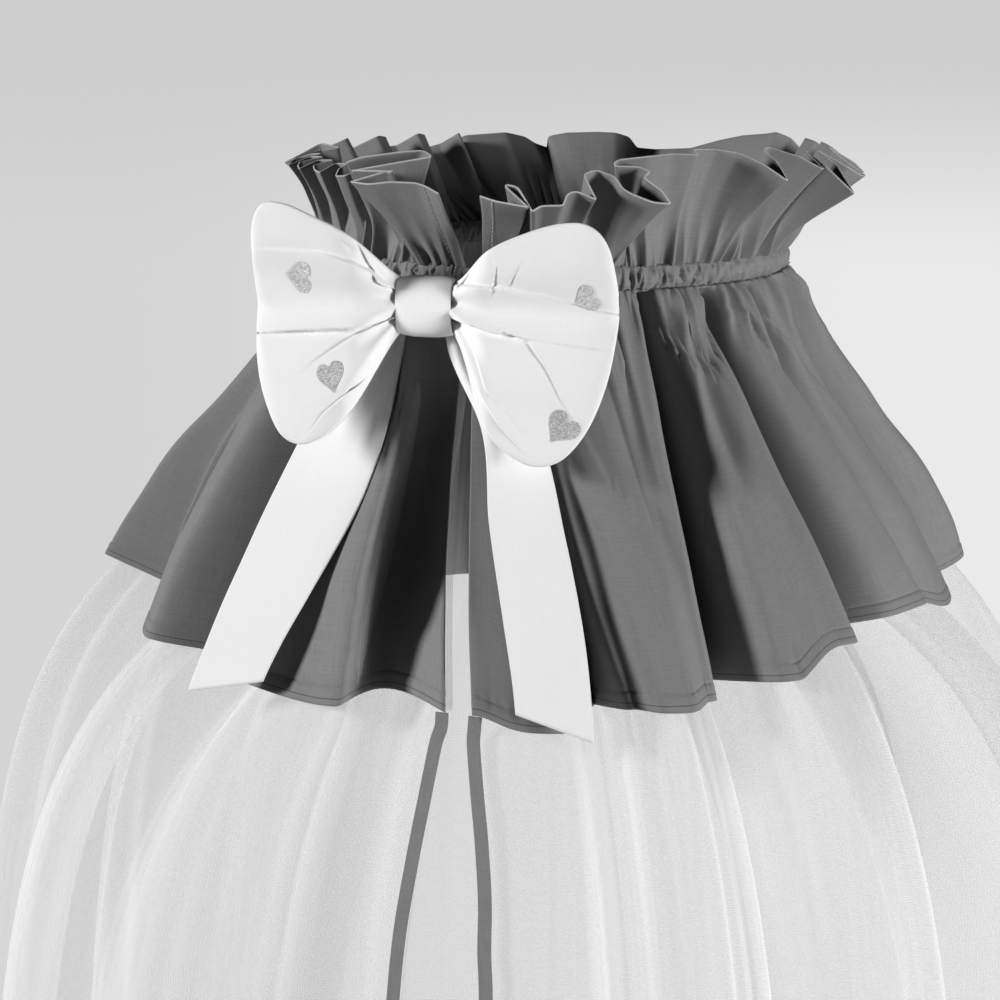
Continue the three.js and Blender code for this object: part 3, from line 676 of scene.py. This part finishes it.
# Fold is how round the corners are, and settle the length over which the foot evens out the edge's turns.
frill = {"columns": 1800, "foot": 61.0, "footRadius": 168.0, "thickness": 1.1, "cloth": (2.6, 0.075),
         "fold": 2.4, "settle": 130.0, "evened": 0.25, "edgeTurns": (8.0, 360.2), "footTurns": (4.3, 360.1),
         "leastStep": 0.02, "footGathers": 1.5, "footFade": 1.3, "sag": 4.5, "hollow": 4.0}
frillStops = [0.0, 0.02, 0.05, 0.09, 0.14, 0.2, 0.27, 0.35, 0.43, 0.51, 0.59, 0.67, 0.74, 0.8, 0.86, 0.91,
              0.95, 0.98, 1.0]


# The mean of each value and its neighbours, fewer of them near the ends.
def averaged(values, reach):
    total = [0.0]
    for value in values:
        total.append(total[-1] + value)
    last = len(values)
    made = []
    for k in range(last):
        span = min(reach, k, last - 1 - k)
        made.append((total[k + span + 1] - total[k - span]) / (2 * span + 1))
    return made


# For each column, the place of the top edge in x, y and z, and the turn of its foot at the casing.
def frillLines():
    corners = []
    for turn, radius, slope in frillEdge:
        lean = radius - frill["footRadius"]
        height = math.sqrt(max(slope ** 2 - lean ** 2, 1.0))
        point = at(turn, radius, ring["casingTop"] + height)
        corners.append((point.x, point.y, point.z, turn))
    along = [0.0]
    for a, b in zip(corners, corners[1:]):
        along.append(along[-1] + math.dist(a[:3], b[:3]))
    count = frill["columns"]
    lines = [[], [], [], []]
    k = 0
    for i in range(count + 1):
        place = along[-1] * i / count
        while k < len(along) - 2 and along[k + 1] < place:
            k += 1
        part = (place - along[k]) / (along[k + 1] - along[k])
        for axis in range(4):
            lines[axis].append(lerp(corners[k][axis], corners[k + 1][axis], part))
    step = along[-1] / count
    soft = max(1, round(frill["fold"] / step / 2))
    wide = max(1, round(frill["settle"] / step / 2))
    for axis in range(3):
        lines[axis] = averaged(averaged(lines[axis], soft), soft)
    turns = averaged(averaged(lines[3], wide), wide)
    for i in range(count + 1):
        turns[i] = lerp(turns[i], lerp(*frill["edgeTurns"], i / count), frill["evened"])
    for i in range(1, count + 1):
        turns[i] = max(turns[i], turns[i - 1] + frill["leastStep"])
    first, last = turns[0], turns[-1]
    lines[3] = [lerp(*frill["footTurns"], (turn - first) / (last - first)) for turn in turns]
    return lines


frillTop = frillLines()


def frillPlace(i, j):
    t = frillStops[j]
    turn = frillTop[3][i]
    gathered = frill["footGathers"] * gathers(turn, 4 + 40 * t) * (1 - t) ** frill["footFade"]
    foot = at(turn, frill["footRadius"] + gathered, frill["foot"])
    top = Vector((frillTop[0][i], frillTop[1][i], frillTop[2][i]))
    point = foot.lerp(top, t)
    sag = frill["sag"] * noise.noise(Vector((i * 0.012, t * 1.8, 7.0))) - frill["hollow"]
    return point + outwardAt(point) * sag * math.sin(math.pi * t)


frillPiece = gridPiece("ruffledFrill", frill["columns"], len(frillStops) - 1, frillPlace, frill["cloth"])
thicken(frillPiece, frill["thickness"])
print("frill made")

# Stitches: small grains of thread along a line of places and outward directions.
stitch = {"pitch": 3.4, "long": 2.5, "wide": 0.7, "clear": 0.3, "proud": 0.2, "belowFold": 2.0,
          "hemSamples": 3000, "edgeSamples": 70, "edgeColumns": (6, -9)}


def stitchRow(name, places, material):
    mesh = bmesh.new()
    walked = 0.0
    for (before, _), (after, out) in zip(places, places[1:]):
        step = after - before
        walked += step.length
        if walked < stitch["pitch"]:
            continue
        walked -= stitch["pitch"]
        along = step.normalized()
        across = along.cross(out).normalized()
        face = across.cross(along)
        turned = Matrix((along, across, face)).transposed().to_4x4()
        sized = Matrix.Diagonal((stitch["long"] / 2, stitch["wide"] / 2, stitch["wide"] / 2, 1.0))
        spot = Matrix.Translation((after + face * stitch["proud"]) * millimetre)
        bmesh.ops.create_icosphere(mesh, subdivisions=1, radius=millimetre, matrix=spot @ turned @ sized)
    for face in mesh.faces:
        face.smooth = True
    piece = finishMesh(name, mesh)
    piece.data.materials.append(material)
    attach(piece, "crown")
    return piece


# The row of stitches within the hem, from one side of the slit to the other.
def hemLine():
    t = 1 - (hem["depth"] - stitch["belowFold"]) / hem["clothHeight"]
    places = []
    for k in range(stitch["hemSamples"] + 1):
        share = lerp(0.0015, 0.9985, k / stitch["hemSamples"])
        point = skirtPoint(share, t, -hemRelief(t, share))
        beside = skirtPoint(share + 0.0005, t, -hemRelief(t, share))
        below = skirtPoint(share, t + 0.004, -hemRelief(t, share))
        out = (beside - point).cross(below - point).normalized()
        if out.dot(outwardAt(point)) < 0:
            out = -out
        places.append((point + out * stitch["clear"], out))
    return places


# A row of stitches up the frill, beside its end at the slit.
def frillEndLine(column):
    places = []
    for k in range(stitch["edgeSamples"] + 1):
        j = 1 + (len(frillStops) - 3) * k / stitch["edgeSamples"]
        low, part = int(j), j - int(j)
        point = frillPlace(column, low).lerp(frillPlace(column, low + 1), part)
        beside = frillPlace(column + 3, low) - frillPlace(column, low)
        upward = frillPlace(column, low + 1) - frillPlace(column, low)
        out = beside.cross(upward).normalized()
        places.append((point + out * stitch["clear"], out))
    return places


stitchRow("hemStitches", hemLine(), greyThread)
stitchRow("frillStitchesRight", frillEndLine(stitch["edgeColumns"][0]), greyThread)
stitchRow("frillStitchesLeft", frillEndLine(frill["columns"] + stitch["edgeColumns"][1]), greyThread)
print("stitches made")

# Net

# Down to the skirt's hem, where t is 1, the net lies inside the skirt's folds. Below it, it widens to an
# oval by t of 2: soon is the share of the widening that comes at once, at this rate. Slit gives the turns of
# its two edges at the bottom.
net = {"columns": 1152, "upperRows": 24, "lowerRows": 44, "rowGrowth": 1.3, "topInset": 13.0,
       "hemInset": 14.0, "length": 1400.0, "halfWidth": 500.0, "halfDepth": 405.0, "foldDepth": 70.0,
       "meanFold": 0.5, "soon": 0.6, "rate": 10.0, "slit": (14.5, 363.0), "inward": 3.0,
       "cloth": (4.0, 1.5)}
netGathers = [(97, 1.0, 1.0), (61, 1.7, 2.0), (41, 2.2, 3.0)]  # how many, how high, and a seed
netStops = [k / net["upperRows"] for k in range(net["upperRows"] + 1)]
netStops += [1 + (k / net["lowerRows"]) ** net["rowGrowth"] for k in range(1, net["lowerRows"] + 1)]


def netPoint(share, t):
    if t <= 1:
        point = skirtPoint(share, t, lerp(net["topInset"], net["hemInset"], t), gathered=False)
    else:
        s = t - 1
        topTurn, hemTurn, reach, fall, _ = foldAt(share)
        slide = lerp(s, 1 - math.exp(-net["rate"] * s), net["soon"])
        first, last = skirtFolds[0][1], skirtFolds[-1][1]
        lowTurn = lerp(*net["slit"], (hemTurn - first) / (last - first))
        angle = math.radians(lowTurn)
        oval = 1 / math.hypot(math.sin(angle) / net["halfWidth"], math.cos(angle) / net["halfDepth"])
        hemRadius = ring["skirtRadius"] + reach * skirt["reach"] - net["hemInset"]
        lowRadius = oval + net["foldDepth"] * (reach - net["meanFold"])
        z = lerp(ring["skirtTop"] - fall * skirt["fall"], ring["skirtTop"] - net["length"], s)
        point = at(lerp(hemTurn, lowTurn, slide), lerp(hemRadius, lowRadius, slide), z)
        point += slitRecess(share, 1.0) * (1 - rise(s, 0.0, 0.5))
    topTurn = foldAt(share)[0]
    fine = 0.0
    for count, amount, seed in netGathers:
        warp = noise.noise(Vector((topTurn * 0.07, seed * 5, t * 0.25)))
        vary = 0.5 + noise.noise(Vector((topTurn * 0.1, seed * 9, t * 0.3)))
        fine += amount * vary * math.sin(math.radians(topTurn) * count + 6 * warp)
    grow = min(1.0, 0.25 + 0.4 * t) * (1 + 1.6 * rise(t, 1.0, 1.8))
    return point + outwardAt(point) * (fine - net["inward"]) * grow


def netPlace(i, j):
    return netPoint(i / net["columns"], netStops[j])


netPiece = gridPiece("tulleDrape", net["columns"], len(netStops) - 1, netPlace, net["cloth"])
print("net made")

# Bow: its own frame is right, outward and up about the knot's centre. The knot rests on the skirt's folds,
# and start is how far from its middle the wings begin.
bow = {"turn": 8.0, "start": 18.0, "reachShare": 0.67, "clear": 0.3}
knot = {"turn": -3.4, "z": 38.0, "width": 38.0, "height": 41.0, "depth": 32.0, "rounding": 5.0,
        "columns": 40, "rows": 64, "bulge": 0.10, "square": 0.75, "thickness": 1.2, "cloth": (0.038, 0.13)}
bowAngle = math.radians(bow["turn"])
bowRight = Vector((math.cos(bowAngle), math.sin(bowAngle), 0.0))
bowOut = Vector((math.sin(bowAngle), -math.cos(bowAngle), 0.0))
knotFoot = (ring["skirtTop"] - knot["z"] + knot["height"] / 2) / skirt["fall"]
knotTilt = math.sin(math.radians(bow["turn"] - knot["turn"]))
knotBack = (ring["skirtRadius"] + bow["reachShare"] * skirt["reach"] * bell(knotFoot) + bow["clear"]
            + (knot["width"] / 2 - knot["rounding"]) * knotTilt)
knotCentre = at(knot["turn"], knotBack + knot["depth"] / 2, knot["z"])


def bowPoint(x, out, z):
    return knotCentre + bowRight * x + bowOut * out + Vector((0.0, 0.0, z))


# High and low are the outline's shares of top and bottom, from the knot to the wing's tip. Creases are in
# millimetres outward from the knot's centre and upward.
wings = {
    "left": {
        "side": -1, "span": 97.0, "top": 72.0, "bottom": 88.0,
        "high": [0.26, 0.66, 0.85, 0.97, 0.95, 0.68, 0.12],
        "low": [0.20, 0.76, 0.98, 0.95, 0.70, 0.38, 0.02],
        "creases": [
            crease([(20, -7.5), (38, -12), (62, -13.6), (84, -15.5), (106, -18)],
                   2.6, -3.4, 12, 7, (1.5, 0.35)),
            crease([(28, -10), (38, -14.5), (59, -28.6), (71, -37.4), (83, -46)],
                   -3.2, 2.6, 9, 12, (1.1, 0.0)),
            crease([(26, 17), (32, 24.4), (42, 31.4), (60, 37.2), (79, 39.4), (99, 39.3)],
                   -4.2, 2.6, 8, 12, (1.3, 0.1)),
            crease([(44, 40), (51, 47), (60, 58)], -2.4, -2.4, 4, 4, (1.0, 0.0)),
            crease([(19, 10.5), (28.6, 17.7), (34.8, 31), (38, 40), (43, 52)], 3.2, -2.4, 7, 5, (1.0, 0.5)),
            crease([(23, 15), (33, 33), (39, 47)], -1.4, 0.8, 2.5, 3, (1.0, 0.2)),
            crease([(42, -52), (58, -66), (70, -82)], -1.6, 1.6, 5, 5, (1.0, 0.2)),
        ],
    },
    "right": {
        "side": 1, "span": 114.0, "top": 62.0, "bottom": 96.0,
        "high": [0.26, 0.66, 0.87, 0.98, 0.96, 0.72, 0.20],
        "low": [0.20, 0.74, 0.96, 0.96, 0.76, 0.42, 0.0],
        "creases": [
            crease([(18, 15.5), (36, 17.5), (53, 17.4), (78, 13.2), (107, 7.2), (122, 3)],
                   -3.4, 3.0, 7, 9, (1.0, 0.5)),
            crease([(18, -6.5), (37, -9.1), (53, -12.5), (74, -14.8), (115, -20.1)],
                   2.6, -3.2, 9, 6, (1.5, 0.15)),
            crease([(64, -13), (76, -17), (89, -33.2), (100, -51.3), (108, -62.6)],
                   -0.4, -4.4, 5, 7, (1.0, 0.25)),
            crease([(51, 18.7), (54, 30), (50, 44)], -0.6, -3.0, 4, 5, (1.2, 0.0)),
            crease([(63, 21.9), (69, 31), (76, 43)], -0.4, -2.2, 4, 5, (1.1, 0.0)),
            crease([(26, 17.5), (31, 23), (36, 31)], 2.0, -2.0, 4, 3, (1.0, 0.0)),
            crease([(47, -52), (60.6, -68.5), (75, -82)], 1.4, -2.0, 5, 5, (1.0, 0.3)),
            crease([(40, -30), (50, -48), (66, -60), (78, -74)], 1.0, -1.2, 6, 6, (1.0, 0.2)),
        ],
    },
}
wing = {"columns": 150, "frontRows": 200, "backRows": 60, "pad": 12.0, "seam": 0.9, "lean": 0.44,
        "forward": 11.0, "pleat": 2.6, "loose": 0.7, "reliefFade": 2.2, "cloth": (0.16, 0.36)}


# In a wing, a goes from 0 at the knot to 1 at the tip, b from -1 below to 1 above, and face is 1 in front.
def wingSpan(name, a):
    shape = wings[name]
    return (bow["start"] + shape["span"] * math.sin(a * math.pi / 2),
            -shape["bottom"] * splineAt(shape["low"], a), shape["top"] * splineAt(shape["high"], a))


def wingPoint(name, a, b, face):
    shape = wings[name]
    x, low, high = wingSpan(name, a)
    z = lerp(low, high, (b + 1) / 2)
    lean = (wing["lean"] * math.hypot(z, 4.0) + wing["forward"]) * math.sin(min(1.0, 5 * a) * math.pi / 2)
    edge = math.sqrt(max(0.0, 1 - b * b)) * math.sqrt(max(0.0, 1 - a ** 6))
    pleats = wing["pleat"] * (1 - a) * math.cos(3 * math.pi * b) * edge
    pad = wing["seam"] + (wing["pad"] * math.sin(math.pi * (0.25 + 0.75 * a)) + pleats) * edge
    out = lean + face * max(pad, wing["seam"])
    if face > 0:
        loose = wing["loose"] * noise.noise(Vector((x * 0.045, z * 0.045, shape["side"] * 3.0)))
        out += (creaseHeight(shape["creases"], x, z) + loose) * min(1.0, wing["reliefFade"] * edge)
    return bowPoint(shape["side"] * x, out, z)


def makeWing(name):
    front, back = wing["frontRows"], wing["backRows"]

    def place(i, j):
        a = i / wing["columns"]
        if j <= front:
            return wingPoint(name, a, -math.cos(math.pi * j / front), 1)
        return wingPoint(name, a, math.cos(math.pi * (j - front) / back), -1)

    return gridPiece("bowWing" + name.capitalize(), wing["columns"], front + back, place, wing["cloth"],
                     closeAcross=True)


wingPieces = {name: makeWing(name) for name in wings}


def knotPlace(i, j):
    across = 2 * i / knot["columns"] - 1
    angle = 2 * math.pi * j / knot["rows"]
    bulge = 1 - knot["bulge"] * abs(across) ** 3
    high = knot["height"] / 2 * bulge * squared(math.sin(angle), knot["square"])
    deep = knot["depth"] / 2 * bulge * squared(math.cos(angle), knot["square"])
    return bowPoint(across * knot["width"] / 2, deep, high)


knotPiece = gridPiece("bowKnot", knot["columns"], knot["rows"], knotPlace, knot["cloth"], closeAcross=True)
thicken(knotPiece, knot["thickness"])

# Turns and widths are from the knot down. Face is the way that the tail faces, reach the share of the
# skirt's reach that it lies at, and slant how much lower its right corner is.
tails = {
    "left": {"turns": [-15.5, -17.2, -18.6, -21.2, -24.0], "widths": [33, 57, 65, 59, 53], "face": 4.0,
             "reach": 0.77, "slant": -0.04},
    "right": {"turns": [4.0, 13.8, 17.2, 19.8, 21.2], "widths": [35, 40, 51, 54, 51], "face": 8.0,
              "reach": 0.78, "slant": 0.05},
}
tail = {"fall": 0.965, "gap": 5.6, "columns": 48, "rows": 90, "thickness": 1.1, "pleat": 2.4, "sway": 2.2,
        "cloth": (0.058, 0.26)}


def makeTail(name):
    shape = tails[name]
    angle = math.radians(shape["face"])
    across = Vector((math.cos(angle), math.sin(angle), 0.0))

    def place(i, j):
        t = j / tail["rows"]
        side = i / tail["columns"] - 0.5
        fallShare = lerp(knotFoot, tail["fall"] + shape["slant"] * side, t)
        radius = ring["skirtRadius"] + tail["gap"] + shape["reach"] * skirt["reach"] * bell(fallShare)
        pleats = tail["pleat"] * math.sin(16 * side + 5 * t) * (1 - rise(t, 0.1, 0.45))
        sway = tail["sway"] * noise.noise(Vector((side * 1.3, t * 4.5, shape["face"])))
        width = splineAt(shape["widths"], t)
        return at(splineAt(shape["turns"], t), radius + pleats + sway,
                  ring["skirtTop"] - fallShare * skirt["fall"]) + across * side * width

    piece = gridPiece("bowTail" + name.capitalize(), tail["columns"], tail["rows"], place, tail["cloth"])
    return thicken(piece, tail["thickness"])


tailPieces = {name: makeTail(name) for name in tails}
print("bow made")

# Hearts: printed patches on the wings, right and up from the knot's centre, wide, high and turned.
heartTable = {
    "heartLeftHigh": ("left", -79.0, 21.0, 22.0, 17.5, -98.0),
    "heartLeftLow": ("left", -55.5, -42.5, 17.5, 20.5, 18.0),
    "heartRightHigh": ("right", 112.5, 11.5, 18.0, 17.0, -66.0),
    "heartRightLow": ("right", 102.5, -69.0, 22.0, 20.5, -38.0),
}
heart = {"columns": 96, "rows": 14, "lift": 0.35, "edge": 0.995, "cloth": (0.02, 0.02)}


def makeHeart(title):
    name, centreX, centreZ, width, height, turn = heartTable[title]
    side = wings[name]["side"]
    turned = math.radians(turn)

    def place(i, j):
        angle = 2 * math.pi * i / heart["columns"]
        grow = j / heart["rows"]
        wide = math.sin(angle) ** 3
        high = (13 * math.cos(angle) - 5 * math.cos(2 * angle) - 2 * math.cos(3 * angle)
                - math.cos(4 * angle)) / 14.5
        right, up = grow * wide * width / 2, grow * high * height / 2
        x = side * (centreX + right * math.cos(turned) - up * math.sin(turned))
        z = centreZ + right * math.sin(turned) + up * math.cos(turned)
        a = 2 / math.pi * math.asin(clamp((x - bow["start"]) / wings[name]["span"], 0.0, heart["edge"]))
        x, low, high = wingSpan(name, a)
        b = clamp(2 * (z - low) / (high - low) - 1, -heart["edge"], heart["edge"])
        return wingPoint(name, a, b, 1) + bowOut * heart["lift"]

    return gridPiece(title, heart["columns"], heart["rows"], place, heart["cloth"], closeAcross=True)


heartPieces = [makeHeart(title) for title in heartTable]
print("hearts made")

# Ties: flat tapes along these routes, from the skirt's corners down.
tieRoutes = {
    "left": [
        (33, -424.6, -214.2), (33, -426.5, -224), (31.3, -432, -234.8),
        (31, -450.3, -267.3), (29, -465.3, -303.3), (26.4, -479, -345.8),
        (26, -490.5, -391), (26, -503, -460), (25, -512, -530),
        (24, -519, -600), (23, -526.5, -700), (22, -533, -805),
    ],
    "right": [
        (56.5, -424.9, -214.5), (56, -425.8, -224), (57.5, -430.4, -232.7),
        (66.2, -445.6, -258.8), (74.6, -458.6, -286.5), (81.8, -470.7, -321),
        (85, -479.5, -351), (89, -487, -383), (92, -500, -455),
        (95, -508, -520), (99, -515, -600), (104, -521, -700),
        (110, -527, -805),
    ],
}
tie = {"sides": 16, "rows": 160, "width": 9.0, "thickness": 1.3, "flat": 0.5, "round": 0.8,
       "cloth": (0.02, 0.6)}


def makeTie(name):
    route = tieRoutes[name]
    line = []
    for k in range(tie["rows"] + 1):
        share = k / tie["rows"]
        line.append(Vector([splineAt([p[axis] for p in route], share) for axis in range(3)]))

    def place(i, j):
        before = line[max(j - 1, 0)]
        after = line[min(j + 1, tie["rows"])]
        tangent = (after - before).normalized()
        across = tangent.cross(outwardAt(line[j])).normalized()
        face = across.cross(tangent).normalized()
        angle = 2 * math.pi * i / tie["sides"]
        wide = tie["width"] / 2 * squared(math.cos(angle), tie["flat"])
        deep = tie["thickness"] / 2 * squared(math.sin(angle), tie["round"])
        return line[j] + across * wide + face * deep

    piece = gridPiece("tie" + name.capitalize(), tie["sides"], tie["rows"], place, tie["cloth"],
                      closeAcross=True)
    return piece, [point * millimetre for point in line]


tiePieces = {name: makeTie(name) for name in tieRoutes}
print("ties made")

# Finishes, bodies and what each piece stands for

valance.data.materials.append(hemShadeCotton)
frillPiece.data.materials.append(edgeHighlightCotton)
gatheredCasing.data.materials.append(greyCotton)
for piece in (*wingPieces.values(), knotPiece, *tailPieces.values()):
    piece.data.materials.append(whiteCotton)
for piece in heartPieces:
    piece.data.materials.append(silverGlitter)
    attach(piece, "crown")
for piece, line in tiePieces.values():
    piece.data.materials.append(greyCotton)
netPiece.data.materials.append(whiteNet)
for node, material in (("pole_socket", socketPlastic), ("support_ring", coatedWire)):
    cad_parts[node].data.materials.clear()
    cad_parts[node].data.materials.append(material)

placing = [
    (valance, "valance_skirt", "crown", "grey_cotton"),
    (gatheredCasing, "gathered_casing", "crown", "grey_cotton"),
    (frillPiece, "frill", "crown", "grey_cotton"),
    (netPiece, "tulle_drape", "crown", "white_net"),
    (knotPiece, "bow_knot", "crown", "white_cotton"),
    (wingPieces["left"], "bow_wing_left", "crown", "white_cotton"),
    (wingPieces["right"], "bow_wing_right", "crown", "white_cotton"),
    (tailPieces["left"], "bow_tail_left", "tail_left", "white_cotton"),
    (tailPieces["right"], "bow_tail_right", "tail_right", "white_cotton"),
    (tiePieces["left"][0], "tie_left", "tape_left", "grey_cotton"),
    (tiePieces["right"][0], "tie_right", "tape_right", "grey_cotton"),
]
for piece, node, body, slotName in placing:
    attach(piece, body)
    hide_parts(node)

# Floor, light and camera, in metres

studio = {"floorRadius": 2.6, "floorZ": -1.7, "paper": (0.72, 0.72, 0.72), "aim": (0.0, -0.15, -0.1)}
floorMesh = bmesh.new()
bmesh.ops.create_circle(floorMesh, cap_ends=True, segments=96, radius=studio["floorRadius"])
floor = finishMesh("floor", floorMesh)
floor.location = (0.0, ring["centreY"] * millimetre, studio["floorZ"])
floor.data.materials.append(plainMaterial("floorPaper", studio["paper"], 0.9, specular=0.1))


def addLight(name, place, size, power):
    data = bpy.data.lights.new(name, "AREA")
    data.shape = "RECTANGLE"
    data.size = size[0]
    data.size_y = size[1]
    data.energy = power
    lamp = bpy.data.objects.new(name, data)
    lamp.location = place
    aim = Vector(studio["aim"]) - Vector(place)
    lamp.rotation_euler = aim.to_track_quat("-Z", "Y").to_euler()
    bpy.context.scene.collection.objects.link(lamp)


addLight("keyLeft", (-2.15, -1.95, 0.75), (0.55, 0.6), 90.0)
addLight("rimRight", (2.6, -0.95, 0.0), (0.5, 0.8), 72.0)

# The backdrop that the camera sees is darker on the left and at the top. Right is the direction to the
# camera's right, and the bands are where one tone turns into the next.
backdropTones = {"room": 0.012, "left": 0.66, "right": 0.82, "top": 0.62,
                 "toRight": (0.927, 0.375, 0.0), "sideBand": (-0.16, 0.16), "topBand": (-0.12, -0.03)}


def smoothBand(nodes, links, value, band, low, high):
    node = nodes.new("ShaderNodeMapRange")
    node.interpolation_type = "SMOOTHSTEP"
    node.inputs["From Min"].default_value = band[0]
    node.inputs["From Max"].default_value = band[1]
    node.inputs["To Min"].default_value = low
    node.inputs["To Max"].default_value = high
    links.new(value, node.inputs["Value"])
    return node.outputs[0]


def makeWorld():
    world = bpy.data.worlds.new("studio")
    bpy.context.scene.world = world
    world.use_nodes = True
    nodes = world.node_tree.nodes
    links = world.node_tree.links
    direction = nodes.new("ShaderNodeTexCoord").outputs["Generated"]
    across = nodes.new("ShaderNodeVectorMath")
    across.operation = "DOT_PRODUCT"
    across.inputs[1].default_value = backdropTones["toRight"]
    links.new(direction, across.inputs[0])
    height = nodes.new("ShaderNodeSeparateXYZ")
    links.new(direction, height.inputs[0])
    sideways = smoothBand(nodes, links, across.outputs["Value"], backdropTones["sideBand"],
                          backdropTones["left"], backdropTones["right"])
    upper = smoothBand(nodes, links, height.outputs[2], backdropTones["topBand"], 0.0, 1.0)
    backdrop = nodes.new("ShaderNodeMix")
    links.new(upper, backdrop.inputs[0])
    links.new(sideways, backdrop.inputs[2])
    backdrop.inputs[3].default_value = backdropTones["top"]
    path = nodes.new("ShaderNodeLightPath").outputs
    level = nodes.new("ShaderNodeMix")
    links.new(mathNode(nodes, links, "MAXIMUM", path["Is Camera Ray"], path["Is Transmission Ray"]),
              level.inputs[0])
    level.inputs[2].default_value = backdropTones["room"]
    links.new(backdrop.outputs[0], level.inputs[3])
    nodes["Background"].inputs["Color"].default_value = (1.0, 1.0, 1.0, 1.0)
    links.new(level.outputs[0], nodes["Background"].inputs["Strength"])


makeWorld()

view = {"lens": 90.0, "sensor": 36.0, "target": Vector((-0.03616, -0.15311, -0.1325)),
        "back": Vector((0.36642, -0.90692, 0.20791)), "distance": 1.875}
cameraData = bpy.data.cameras.new("camera")
cameraData.lens = view["lens"]
cameraData.sensor_width = view["sensor"]
camera = bpy.data.objects.new("camera", cameraData)
camera.location = view["target"] + view["back"] * view["distance"]
camera.rotation_euler = (-view["back"]).to_track_quat("-Z", "Y").to_euler()
bpy.context.scene.collection.objects.link(camera)
bpy.context.scene.camera = camera
bpy.context.scene.view_settings.view_transform = "Standard"
print("light and camera made")
